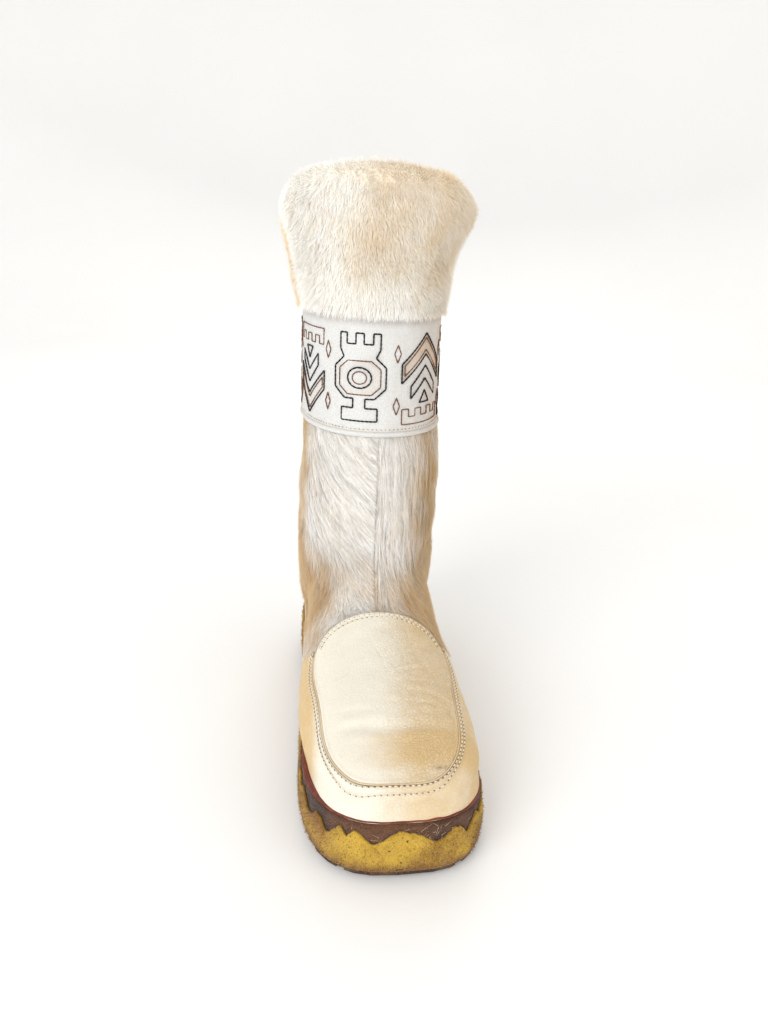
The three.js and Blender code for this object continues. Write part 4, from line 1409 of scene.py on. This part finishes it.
@dataclass
class Cuff:
    """The fur cuff: a rolled body whose outer side, top and inner lip carry dense short fur."""

    last: Last
    count: int = 210
    fur: int = 35000
    pile: float = 5.6
    inset: float = 2.4
    rows: int = 72
    radius: float = 62.0

    @staticmethod
    def flap(z: Array) -> Array:
        """Angle round the shaft of the front flap's slanting edge, on the inner side."""
        return -1.62 + 0.5 * np.clip((316 - z) / 56, 0, 1)

    def lobe(self, angle: Array, z: Array) -> Array:
        """How far a place lies behind the flap's edge, from 0 to 1, fading out further behind and above."""
        behind = self.flap(z) - angle
        return rise(0.0, 0.05, behind) * rise(0.9, 0.6, behind) * rise(322, 308, z)

    def relief(self, angle: Array, z: Array) -> Array:
        """How far the fur draws in: at the flap's edge, the joint and the lower edge, less a roll.

        Args:
            angle: Angles round the shaft.
            z: Heights.

        Returns:
            A distance for each place.
        """
        groove = 2.6 * bump(angle - self.flap(z) + 0.03, 0.05) * rise(324, 306, z)
        shade_and_scuff = 2.2 * bump(angle - 1.72, 0.13) * rise(326, 300, z)
        roll = 5.0 * rise(0.1, 1.3, angle) * rise(2.9, 1.9, angle) * bump(z - 323, 17)
        tuck = 2.6 * rise(274, 259, z) * rise(0.6, 1.4, np.abs(angle))
        return groove + shade_and_scuff + tuck - roll - self.lobe(angle, z) * 1.5

    def body(self, draw: float) -> Array:
        """The cuff's surface.

        Args:
            draw: How far it is drawn in on its furry side.

        Returns:
            Rings by points by x, t and z.
        """
        closed = np.array([*CUFF_SECTION, CUFF_SECTION[0]])
        section = spread(closed, np.linspace(0, lengths(closed)[-1], self.rows, endpoint=False))
        for _ in range(3):
            section = softened(section)
        out, z = section.T
        way_out, way_z = np.gradient(out), np.gradient(z)
        length = np.hypot(way_out, way_z)
        furry = (out > 3.0) | (z > 322)
        out = out - np.where(furry, draw * way_z / length, 0)
        z = z + np.where(furry, draw * way_out / length, 0)
        angle = np.linspace(-math.pi, math.pi, self.count, endpoint=False)[None, :]
        outs = out[:, None] - self.relief(angle, z[:, None]) * rise(3, 6, out)[:, None]
        outs = np.maximum(outs, np.where(z > 318.3, -6, 2.45)[:, None])
        heights = np.broadcast_to(z[:, None], outs.shape)
        dip = (3.4 - 9 * np.abs(np.sin(angle + 0.1)) ** 1.9) * rise(296, 338, heights)
        return self.last.oval(np.broadcast_to(angle, outs.shape), heights + dip, outs)

    def tone(self, place: Array) -> Array:
        """How tan the fur is: cream on the inner front, tan outwards and far round the inner side."""
        turn, z = turn_of(place), place[..., 2]
        patch = ripple(place, 70, 41) * 0.18 + ripple(place, 24, 42) * 0.12
        outer = rise(-0.05, 0.5, turn) * 0.55 + rise(0.9, 1.5, turn) * 0.2
        inner = rise(-1.35, -1.75, turn) * 0.75
        behind = 0.3 * rise(2.2, 2.9, np.abs(turn))
        low = -0.22 * rise(290, 262, z)
        patch = patch + 0.35 * bump(turn - 0.02, 0.2) * bump(z - 306, 22) * (place[..., 1] > 0)
        edge = 0.3 * rise(322, 336, z) * rise(-1.1, 0.1, turn)
        return np.clip(0.02 + outer + inner - behind + low + patch + edge + self.lobe(turn, z) * 0.9, 0, 1)

    def build(self) -> None:
        """Makes the body and two coats of fur, front and back."""
        core = self.body(self.inset)
        # dark: colour of the painted shade between the fleece's locks.
        pale, tan, dark = srgb(250, 244, 232), srgb(240, 220, 188), srgb(226, 206, 178)
        pelt = Pelt("cuff_fleece", pale, tan, dark, curl=900.0, relief=0.002).material()
        ring_solid(core, marks={"tone": self.tone(core)}).piece("cuff_body", pelt, "cuff_fur", ("fur_cuff",))
        pale, tan, root = srgb(253, 253, 251), srgb(228, 202, 160), srgb(226, 216, 198)
        finish = Hair("cuff_fur", pale, tan, root, deep=0.3, streak=0.36, sheen=0.5).material()
        plan_out = self.last.shaft(core[..., 0], core[..., 1], np.minimum(core[..., 2], COLLAR))
        rows = np.arange(self.rows)[:, None] + np.zeros(core.shape[:2])
        outer = (rows < np.argmax(core[:, 0, 2])) | (plan_out > 2.9) | (core[..., 2] > 321)
        furry = outer * (1 + 1.2 * rise(268, 261, core[..., 2]))
        for name, side, seed in (("cuff_fur_front", 1, 51), ("cuff_fur_back", -1, 52)):
            keep = furry * (np.sign(core[..., 1] - SHAFT_MIDDLE) == side)
            self.coat(core, keep, seed).piece(name, finish, "cuff_fur")

    def coat(self, grid: Array, keep: Array, seed: int) -> Solid:
        """Fur on part of the body: hairs that lean out and down, drawn together in small tufts.

        Args:
            grid: The body's rings.
            keep: Where fur grows.
            seed: Seed of the coat.

        Returns:
            The fur.
        """
        rng = np.random.default_rng(seed)
        closed = np.concatenate([grid, grid[:1]])
        root, normal, _ = scatter(closed, self.fur, seed, np.concatenate([keep, keep[:1]]))
        count, (x, t, z) = len(root), root.T
        plan = unit(np.stack([x - self.last.lean(z), (t - SHAFT_MIDDLE) * 0.55, z * 0], -1))
        high = rise(326, 336, z)
        outer = self.last.shaft(x, t, np.full(count, 310.0)) > 1
        inward = (np.einsum("ij,ij->i", normal, plan) < 0) & (high < 0.5) & outer
        normal = normal * np.where(inward, -1, 1)[:, None]
        u = turn_of(root) * self.radius
        tuft = np.stack([lattice(u / 1.9, z / 2.8, seed + k) for k in range(3)], -1) - 0.5
        swirl = np.stack([lattice(u / 26 + 9, z / 22, 60 + k) for k in range(3)], -1) - 0.5
        down = 1.25 * (1 - high) + 1.1 * rise(272, 260, z)
        under = 0.7 * rise(-0.2, -0.8, normal[:, 2]) * rise(275, 262, z)
        lean = np.array([0, 0, -1.0]) * down[:, None] + tuft * 0.6 + swirl + plan * under[:, None]
        lean = lean + rng.normal(0, 0.24, (count, 3))
        way = unit(normal * 0.9 + lean)
        length = self.pile * rng.uniform(0.7, 1.05, count) * (1 - 0.25 * high) * (0.9 + 0.2 * tuft[:, 0])
        length = length * (1 + 0.35 * rise(270, 259, z))
        tip = root + way * length[:, None]
        tone = np.clip(self.tone(root) + tuft[:, 1] * 0.25 + rng.normal(0, 0.06, count), 0, 1)
        shade = np.clip(rng.uniform(0, 1, count) ** 3 + 0.3 * tuft[:, 2], 0, 1)
        width = rng.uniform(0.36, 0.58, count)
        return strands(root - normal * 0.4, tip, width, normal, tone=tone, shade=shade)


def polygon(x: float, y: float, radius: float, sides: int = 14) -> Corners:
    """Corners of a regular polygon with a side at the bottom.

    Args:
        x: Place of its middle along the band.
        y: Height of its middle.
        radius: Distance of the corners from it.
        sides: How many there are.

    Returns:
        The corners in order.
    """
    turns = [(k + 0.5) * 2 * math.pi / sides - math.pi / 2 for k in range(sides)]
    return tuple((x + radius * math.cos(turn), y + radius * math.sin(turn)) for turn in turns)


def mirrored(*half: tuple[float, float]) -> Corners:
    """A closed line from its left half: those corners, then their mirror images in reverse."""
    return half + tuple((CELL[0] - x, y) for x, y in reversed(half) if x != CELL[0] / 2)


class Motif(Enum):
    """Figures of the band's embroidery: each line's thread with its corners, in millimetres on one cell."""

    ROSETTE = (
        ("black", mirrored(
            (16, 57), (16, 51), (11.5, 51), (11.5, 57), (8, 57), (8, 48), (10, 43.5),
            (5, 38), (5, 26), (10.5, 20), (15, 20), (15, 14.5), (9, 14.5), (9, 7),
        )),
        ("brown", mirrored((12.2, 41.6), (7.6, 37), (7.6, 27), (12, 22.3))),
        ("black", polygon(18, 32, 6.0)),
        ("brown", polygon(18, 32, 3.6)),
    )
    ARROWS = (
        ("double", mirrored((18, 57), (2.5, 40), (2.5, 29), (18, 45))),
        ("black", mirrored((18, 38.5), (8, 27), (8, 20), (18, 31))),
        ("brown", mirrored((15.5, 9.5), (15.5, 14), (11, 14), (11, 9.5), (7, 9.5), (7, 14), (3, 14), (3, 5))),
        ("black", mirrored((18, 24), (14, 17))),
    )
    PYRAMIDS = (
        ("double", mirrored((13.5, 25), (13.5, 19), (8, 19), (8, 12.5), (2.5, 12.5), (2.5, 5))),
        ("brown", mirrored((18, 17), (12.5, 9))),
        ("black", mirrored((18, 36), (9, 31.2), (18, 26.5))),
        ("double", mirrored((2.5, 57), (2.5, 50), (8, 50), (8, 43.5), (13.5, 43.5), (13.5, 37.5))),
    )
    SUN = (
        ("black", polygon(18, 31, 12.5, 8)),
        ("brown", polygon(18, 31, 9.8, 8)),
        ("black", polygon(18, 31, 6.0)),
        ("black", polygon(18, 31, 3.6)),
        ("double", mirrored((3, 58), (3, 51), (18, 44.5))),
        ("brown", mirrored(
            (15.5, 8.5), (15.5, 14), (11.5, 14), (11.5, 8.5), (6.5, 8.5), (6.5, 12), (3, 12), (3, 4.5),
        )),
    )


@dataclass
class Band:
    """The embroidered leather band with its rolled hem."""

    last: Last
    sewing: Stitching
    bottom: float = 192.0
    middle: float = 225.0
    skin: float = 2.1
    count: int = 400
    stitch: float = 2.4
    black_thread: float = 0.54
    brown_thread: float = 0.38

    def __post_init__(self) -> None:
        """Measures the way round the band, so that the embroidery keeps its scale, and lays out its lines."""
        count = 2001
        self.angle = np.linspace(-math.pi, math.pi, count)
        run = lengths(self.last.oval(self.angle, np.full(count, self.middle), np.full(count, self.skin)))
        self.run = run - run[count // 2]
        self.lines = self.outlines()

    def around(self, way: Array, height: Array, out: Array) -> Array:
        """Points of the band.

        Args:
            way: Distances round the band from its front, growing towards the outer side.
            height: Heights over its lower edge.
            out: Distances from the shaft.

        Returns:
            Points with x, t and z on the last axis.
        """
        return self.last.oval(np.interp(way, self.run, self.angle), self.bottom + height, out)

    @staticmethod
    def nested(corners: Array, gap: float) -> Array:
        """A closed line inside another.

        Args:
            corners: Corners of the outer line.
            gap: How far each edge moves in.

        Returns:
            The corners of the inner line.
        """
        edge = unit(np.roll(corners, -1, 0) - corners)
        x, y = corners[:, 0], corners[:, 1]
        area = (x * np.roll(y, -1) - np.roll(x, -1) * y).sum()
        normal = np.stack([-edge[:, 1], edge[:, 0]], -1) * np.sign(area)
        before = np.roll(normal, 1, 0)
        return corners + (before + normal) * (gap / (1 + (before * normal).sum(-1, keepdims=True)))

    def outlines(self) -> list[tuple[str, Array, bool]]:
        """Every line of the embroidery: its thread, its corners and whether it is tinted inside."""
        order = (
            (Motif.SUN, False), (Motif.PYRAMIDS, False), (Motif.ARROWS, True), (Motif.ROSETTE, False),
            (Motif.ARROWS, False), (Motif.SUN, True), (Motif.PYRAMIDS, False), (Motif.ROSETTE, True),
        )
        pitch = (self.run[-1] - self.run[0]) / len(order)
        lines: list[tuple[str, Array, bool]] = []
        for k, (motif, flipped) in enumerate(order):
            start = self.run[0] + (k + 0.22) * pitch

            def laid(points: Array) -> Array:
                """Corners of a figure at its place along and up the band."""
                up = CELL[1] - points[:, 1] if flipped else points[:, 1]
                return np.stack([start + points[:, 0] * (pitch - 0.6) / CELL[0], up + 1.2], -1)

            for j, (thread, corners) in enumerate(motif.value):
                line = laid(np.array(corners, float))
                if thread == "double":
                    lines.append(("brown", self.nested(line, 1.9), False))
                tint = j in (1, 2) if k % 2 else j == 0
                lines.append(("brown" if thread == "brown" else "black", line, tint))
            for height in (16.0, 46.0):
                gem = np.array([(0.0, -5.0), (1.7, 0.0), (0.0, 5.0), (-1.7, 0.0)]) + np.array([0.0, height])
                lines.append(("brown", laid(gem), False))
        return lines

    def tinted(self, way: Array, height: Array) -> Array:
        """How much a place is tinted, by counting the edges crossed on the way out of each tinted line.

        Args:
            way: Distances round the band.
            height: Heights over its lower edge.

        Returns:
            0 outside, 1 inside one tinted line and half inside two.
        """
        inside = np.zeros(way.shape)
        for _, corners, tint in self.lines:
            if not tint:
                continue
            odd = np.zeros(way.shape, bool)
            for (x0, y0), (x1, y1) in zip(corners, np.roll(corners, -1, 0)):
                if y0 == y1:
                    continue
                between = (height > min(y0, y1)) & (height <= max(y0, y1))
                odd ^= between & (way < x0 + (height - y0) * (x1 - x0) / (y1 - y0))
            inside = np.where(odd, 1 - inside * 0.5, inside)
        return inside

    def build(self) -> None:
        """Makes the leather with its hem, the embroidery in two threads, and the hem's stitches."""
        hem = [(0.6, 190.9), (1.8, 190.9), (2.5, 191.2), (2.8, 191.9), (2.8, 192.8), (2.55, 193.5)]
        face = [(2.2, z) for z in np.arange(194.8, 259, 1.5)]
        hidden = [(self.skin, z) for z in (262, 275, 290, 304, 316.5)]
        inside = [(0.3, z) for z in (316.8, 290, 250, 215, 192.5)]
        rows = np.array([*hem, (2.3, 194), *face, *hidden, (1.0, 317), *inside])
        out = rows[:, :1]
        even = np.linspace(self.run[0], self.run[-1], self.count, endpoint=False)[None, :]
        way = np.broadcast_to(even, (len(rows), self.count))
        height = np.broadcast_to(rows[:, 1:2] - self.bottom, way.shape)
        flat = self.around(way, height, np.broadcast_to(out, way.shape))
        soft = (ripple(flat, 20, 61) * 0.24 + ripple(flat, 8, 62) * 0.1) * (out > 1.5)
        shape = self.around(way, height, out + soft)
        turn = turn_of(shape)
        # Tan towards the outer side and far round the inner side: partly the leather's colour, partly painted
        # shade of sides that turn from the light.
        side = rise(0.0, 1.0, turn) * (0.45 - 0.2 * rise(1.5, 2.8, turn))
        tone = 0.08 + side + 0.25 * rise(-1.0, -1.5, turn)
        tone = tone + self.tinted(way, height) * (0.1 + 0.22 * rise(-0.6, 0.6, turn))
        # Painted shade in the groove above the hem, and painted shadow of the cuff across the band's top.
        dark = 0.4 * bump(height - 2.1, 0.45) * (out > 2) + 0.25 * rise(61, 65, height)
        marks = {"tone": tone, "dark": np.clip(dark, 0, 1), "fold": np.full(tone.shape, 0.5)}
        leather = Leather("band_leather", srgb(207, 208, 207), srgb(188, 160, 130)).material()
        ring_solid(shape, marks=marks).piece("band_leather", leather, "band_leather", ("band",))
        threads = {
            "black": Thread("black_thread", srgb(34, 30, 30), srgb(12, 10, 10)),
            "brown": Thread("brown_thread", srgb(128, 84, 56), srgb(70, 42, 26)),
        }
        for colour, size in (("black", self.black_thread), ("brown", self.brown_thread)):
            sewn = [self.sew(corners, size) for thread, corners, _ in self.lines if thread == colour]
            Solid.join(sewn).piece(f"embroidery_{colour}", threads[colour].material(), "band_leather")
        run = np.arange(self.run[0], self.run[-1], 1.2)
        path = self.around(run, np.full(run.shape, 3.4), np.zeros(run.shape))
        self.sewing.row(path, proud=2.35, pitch=2.4, radius=0.3, hole=0.36)

    def sew(self, corners: Array, size: float) -> Solid:
        """Stitches along a closed line, each of which overlaps the next a little.

        Args:
            corners: Corners of the line along and up the band.
            size: Radius of the thread.

        Returns:
            The stitches.
        """
        starts, ends = [], []
        for a, b in zip(corners, np.roll(corners, -1, 0)):
            count = max(int(round(np.linalg.norm(b - a) / self.stitch)), 1)
            cuts = a + (b - a) * np.linspace(0, 1, count + 1)[:, None]
            starts.append(cuts[:-1])
            ends.append(cuts[1:])
        first, second = np.concatenate(starts), np.concatenate(ends)
        reach = (second - first) * 0.1
        first, second = first - reach, second + reach
        out = np.full(len(first), self.skin + 0.34)
        start, end = (self.around(point[:, 0], point[:, 1], out) for point in (first, second))
        return beads(start, end, size)


@dataclass
class Sole:
    """The platform's coverings: brown felt, the mustard strip with its zigzag edge, and the leather rand."""

    last: Last
    line: SoleLine
    count: int = 520
    nap: int = 13000
    lint: int = 30
    brown_rows: int = 12
    mustard_rows: int = 16

    def bottom(self, t: Array) -> Array:
        """Height of the mustard strip's lower edge, a little over the outsole's underside."""
        return self.last.tread(t) + 2.7

    def ring(self, numbers: Array, inset: Array | float, z: Array) -> Array:
        """A ring of points round the sole.

        Args:
            numbers: Numbers of the points along the outline.
            inset: Inset from the outline.
            z: Heights.

        Returns:
            Points with x, t and z on the last axis.
        """
        plan = self.line.at(numbers, inset)
        return np.concatenate([plan, np.broadcast_to(z, plan.shape[:-1])[..., None]], -1)

    def strip(
        self, numbers: Array, outer: Array, inner: Array | float, low: Array, high: Array, rows: int
    ) -> Array:
        """Rings of a strip round the platform: up its outer face with rounded edges and down behind.

        Args:
            numbers: Numbers of the points along the outline.
            outer: Inset of the outer face.
            inner: Inset of the inner face.
            low: Height of the lower edge.
            high: Height of the upper edge.
            rows: Rings on the outer face.

        Returns:
            Rings by points by x, t and z.
        """
        rings = []
        for s in np.linspace(0, 1, rows):
            edge = 0.5 * math.exp(-(1 - s) * (rows - 1) * 1.1) + 1.2 * math.exp(-s * (rows - 1) * 0.55)
            rings.append(self.ring(numbers, outer + edge, low + (high - low) * s))
        rings.append(self.ring(numbers, inner, high - 0.05))
        rings.append(self.ring(numbers, inner, low + 0.05))
        return np.array(rings)

    def build(self) -> None:
        """Makes the strips and the rand, with nap on the felts."""
        numbers = self.line.even(self.count)
        plan = self.line.at(numbers, 0.0)
        t, waist = plan[:, 1], self.line.waist(plan)
        low, plat = self.bottom(t), self.last.platform(t)
        brown = self.strip(numbers, 1.3 + 0.8 * waist, 2.8, low + 3, plat, self.brown_rows)
        brown = brown + unit(self.out(brown)) * (ripple(brown, 3.2, 81) * 0.16)[..., None]
        felt = Felt("brown_felt", srgb(116, 76, 50), srgb(56, 36, 26), srgb(158, 132, 104)).material()
        body = ring_solid(brown, marks=self.marks(brown, 0.0))
        body.piece("brown_felt_strip", felt, "brown_felt", ("brown_foxing",))
        teeth = 2 * self.line.turns
        cut = np.interp(numbers * 2, np.arange(teeth + 1), np.append(np.resize(PEAKS, teeth), PEAKS[0]))
        ragged = ripple(self.ring(numbers, 0.0, plat), 2.6, 83) * 0.35
        top = plat - cut + ragged
        mustard = self.strip(numbers, 1.2 * waist - 0.5, 1.2 + 0.8 * waist, low, top, self.mustard_rows)
        mustard = mustard + unit(self.out(mustard)) * (ripple(mustard, 2.6, 82) * 0.16)[..., None]
        yellow = Felt("mustard_felt", srgb(213, 174, 62), srgb(126, 82, 24), srgb(88, 60, 30)).material()
        body = ring_solid(mustard, marks=self.marks(mustard, 1.0))
        body.piece("mustard_felt_strip", yellow, "mustard_felt", ("mustard_foxing",))
        nap = self.brush(mustard[: self.mustard_rows], self.nap, 91, length=1.5, width=0.42)
        nap.piece("mustard_nap", yellow, "mustard_felt")
        shown = brown[self.brown_rows // 3 : self.brown_rows]
        nap = self.brush(shown, self.nap * 2 // 5, 92, length=1.4, width=0.4)
        nap.piece("brown_nap", felt, "brown_felt")
        self.build_rand(numbers, plat)
        self.build_lint()

    @staticmethod
    def toe(plan: Array) -> Array:
        """1 at the toe, where the leather hangs lowest over the rand, fading to 0 along both sides."""
        return rise(150, 185, plan[..., 1] + 0.25 * plan[..., 0])

    @staticmethod
    def out(grid: Array) -> Array:
        """Level direction out of the sole at each point, square to the ring."""
        along = np.roll(grid, -1, 1) - np.roll(grid, 1, 1)
        return np.stack([-along[..., 1], along[..., 0], along[..., 0] * 0], -1)

    @staticmethod
    def sides(place: Array) -> Array:
        """Darkening that grows towards both sides of the boot, in soft patches."""
        x = place[..., 0]
        return rise(-20, 50, x) * 0.5 + rise(-20, -44, x) * 0.6 + 0.25 * ripple(place, 30, 84)

    def marks(self, grid: Array, edge: float) -> dict[str, Array]:
        """How much a strip is darkened towards its lower edge and both sides, with no shade of its own.

        Args:
            grid: The strip's rings.
            edge: How much darker it is along its lower edge.

        Returns:
            The marks of its points.
        """
        share = np.linspace(0, 1, len(grid))[:, None]
        # Darker towards the lower edge and towards both sides.
        wear = np.clip(0.12 + 0.75 * rise(0.35, 0.0, share) * edge + self.sides(grid), 0, 1)
        return {"wear": wear, "shade": np.zeros(wear.shape)}

    def brush(self, grid: Array, count: int, seed: int, length: float, width: float) -> Solid:
        """Nap on a strip: short hairs that stand out a little and lean at random, more of them downwards.

        Args:
            grid: The rings that carry it.
            count: How many hairs there are.
            seed: Seed of the nap.
            length: Mean length of a hair.
            width: Its width.

        Returns:
            The hairs.
        """
        rng = np.random.default_rng(seed)
        root, normal, row = scatter(grid, count, seed)
        plan = root * np.array([1, 0.4, 0]) - np.array([0, 26.0, 0])
        inward = np.einsum("ij,ij->i", normal, plan) < 0
        normal = normal * np.where(inward, -1, 1)[:, None]
        lean = rng.normal(0, 0.75, (count, 3)) + np.array([0, 0, -0.45])
        way = unit(normal * 0.8 + lean)
        tip = root + way * (length * rng.uniform(0.6, 1.2, count))[:, None]
        # Darker towards the lowest rows and towards both sides.
        wear = np.clip(0.12 + 0.75 * rise(5, 0, row) + self.sides(root), 0, 1)
        shade = rng.uniform(-1, 1, count)
        return strands(root - normal * 0.25, tip, np.full(count, width), normal, wear=wear, shade=shade)

    def build_lint(self) -> None:
        """Makes a few pale hairs caught on the brown felt at the toe, which lie across it every way."""
        rng = np.random.default_rng(95)
        count = self.lint
        number = rng.normal(0.8, 1.1, count)
        t = self.line.at(number, 0.0)[:, 1]
        root = self.ring(number, 1.0, self.last.platform(t) - rng.uniform(1.5, 12, count))
        end = self.ring(number + rng.normal(0, 0.26, count), 0.6, root[:, 2] + rng.normal(0, 2.4, count))
        end[:, 2] = np.clip(end[:, 2], 17, 37)
        up = unit(root * np.array([0, 1, 0]) + np.array([0.02, 0, 0.3]))
        tone, shade = np.full(count, 0.6), rng.uniform(0, 1, count)
        lint = strands(root, end, np.full(count, 0.18), up, tone=tone, shade=shade)
        pale = Hair("stray_hair", srgb(236, 222, 190), srgb(214, 186, 140), srgb(180, 150, 110)).material()
        lint.piece("stray_hairs", pale, "brown_felt")

    def build_rand(self, numbers: Array, plat: Array) -> None:
        """Makes the rand: a flat leather strip on top of the platform with a rounded outer edge.

        Args:
            numbers: Numbers of the points along the outline.
            plat: The platform's height at each.
        """
        plan = self.line.at(numbers, 0.0)
        back = self.toe(plan) * 0.7 + self.line.waist(plan) * 1.4
        section = [(inset + back * (inset < 4), plat + up) for inset, up in RAND_SECTION]
        rings = np.array([self.ring(numbers, inset, z) for inset, z in section])
        rings[2:8, :, 2] += ripple(rings[2:8], 9, 87) * 0.15
        base, rubbed, dust = srgb(98, 42, 31), srgb(130, 62, 42), srgb(120, 92, 72)
        finish = Grained("rand_leather", base, rubbed, dust, rough=0.55, dusty=0.25).material()
        ring_solid(rings).piece("rand_leather", finish, "red_leather", ("rand",))


@dataclass
class Studio:
    """Camera, lights, floor and backdrop."""

    camera_place: tuple[float, float, float] = (-0.056, -0.510, 0.310)
    pitch: float = 20.12
    turn: float = 7.65
    roll: float = 2.59
    lens: float = 27.98
    sky: float = 0.745

    def build(self) -> None:
        """Places the camera where the photograph was taken from and lights the boot softly from the left."""
        scene = bpy.context.scene
        data = bpy.data.cameras.new("camera")
        data.lens, data.sensor_width, data.clip_start = self.lens, 36.0, 0.02
        camera = bpy.data.objects.new("camera", data)
        camera.location = self.camera_place
        angles = ((-self.turn, "Z"), (90 - self.pitch, "X"), (self.roll, "Z"))
        heading, tip, lean = (Matrix.Rotation(math.radians(angle), 3, axis) for angle, axis in angles)
        camera.rotation_euler = (heading @ tip @ lean).to_euler()
        scene.collection.objects.link(camera)
        scene.camera = camera
        self.lamp("key", (-1.15, -1.4, 0.95), 1.2, 23, (1.0, 0.997, 0.99))
        self.lamp("fill", (1.4, -1.1, 0.6), 1.2, 5, (1.0, 0.92, 0.8))
        self.lamp("back", (0.3, 1.5, 1.3), 1.2, 9, (1.0, 0.98, 0.95))
        world = bpy.data.worlds.new("studio")
        world.use_nodes = True
        sky = world.node_tree.nodes["Background"].inputs
        sky["Color"].default_value = (1.0, 0.997, 0.99, 1)
        sky["Strength"].default_value = self.sky
        scene.world = world
        scene.view_settings.view_transform = "Standard"
        self.floor()

    @staticmethod
    def lamp(name: str, place: tuple[float, float, float], size: float, power: float, colour: Colour) -> None:
        """A square soft light that points at the boot.

        Args:
            name: Name of the light.
            place: Where it stands, in metres.
            size: Its side.
            power: Its power in watts.
            colour: Its colour.
        """
        data = bpy.data.lights.new(name, "AREA")
        data.size, data.energy, data.color = size, power, colour
        made = bpy.data.objects.new(name, data)
        made.location = place
        aim = np.array([0.0, -0.05, 0.16]) - np.array(place)
        flat = math.hypot(aim[0], aim[1])
        made.rotation_euler = (math.atan2(flat, -aim[2]), 0, math.atan2(-aim[0], aim[1]))
        bpy.context.scene.collection.objects.link(made)

    @staticmethod
    def floor() -> None:
        """A pale floor that sweeps up all round: a flat disc, a quarter bend and a low wall."""
        sides = 96
        bend = np.linspace(0, math.pi / 2, 20)
        run = np.concatenate([[0.02, 0.8], 1.6 + 0.8 * np.sin(bend), [2.4]])[:, None]
        up = np.concatenate([[0.0, 0.0], 0.8 * (1 - np.cos(bend)), [1.3]])[:, None]
        turn = np.linspace(0, 2 * math.pi, sides, endpoint=False)[None, :]
        rings = np.stack([run * np.cos(turn), run * np.sin(turn), np.broadcast_to(up, (len(run), sides))], -1)
        here, k = np.arange(len(run) - 1)[:, None] * sides, np.arange(sides)[None, :]
        after = (k + 1) % sides
        faces = np.stack([here + k, here + sides + k, here + sides + after, here + after], -1).reshape(-1, 4)
        mesh = bpy.data.meshes.new("floor")
        mesh.from_pydata(rings.reshape(-1, 3).tolist(), [], [*faces.tolist(), list(range(sides))])
        mesh.shade_smooth()
        b = Board("pale_floor")
        colour = b.blend(b.noise(3, 2, 0.5), (0.9, 0.9, 0.895), (0.94, 0.938, 0.932))
        mesh.materials.append(b.finish(colour, 0.8, None, 0, {"Specular IOR Level": 0.1}))
        made = bpy.data.objects.new("floor", mesh)
        bpy.context.scene.collection.objects.link(made)


class Carried:
    """CAD nodes whose shape is right: they keep their mesh and get a better finish."""

    @staticmethod
    def dress(frame: dict[str, Any]) -> None:
        """Gives the outsole, the midsole and the insole their finishes.

        Args:
            frame: The loaded frame.
        """
        finishes = {
            "outsole": Grained("outsole_rubber", srgb(58, 40, 34), srgb(92, 64, 52), grain=500.0, dusty=0.5),
            "midsole": Grained("platform_foam", srgb(84, 64, 50), srgb(110, 88, 70)),
            "insole": Grained(
                "insole_wool", srgb(206, 196, 176), srgb(226, 218, 200), rough=0.9, grain=600.0, dusty=0.1
            ),
        }
        for node, finish in finishes.items():
            material = finish.material()
            mesh = frame["nodes"][node].data
            mesh.materials.clear()
            mesh.materials.append(material)
            LOG.info("%s: CAD node with the finish %s", node, material.name)


def main() -> None:
    """Builds the camera and lights, then every sub-assembly from the sole up."""
    logging.basicConfig(level=logging.INFO, format="%(name)s: %(message)s")
    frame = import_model()
    Studio().build()
    last = Last()
    line = SoleLine(last)
    sewing = Stitching(last)
    Carried.dress(frame)
    Sole(last, line).build()
    Vamp(last, line, sewing).build()
    Shaft(last).build()
    Band(last, sewing).build()
    Cuff(last).build()
    sewing.build()


if __name__ == "__main__":
    main()
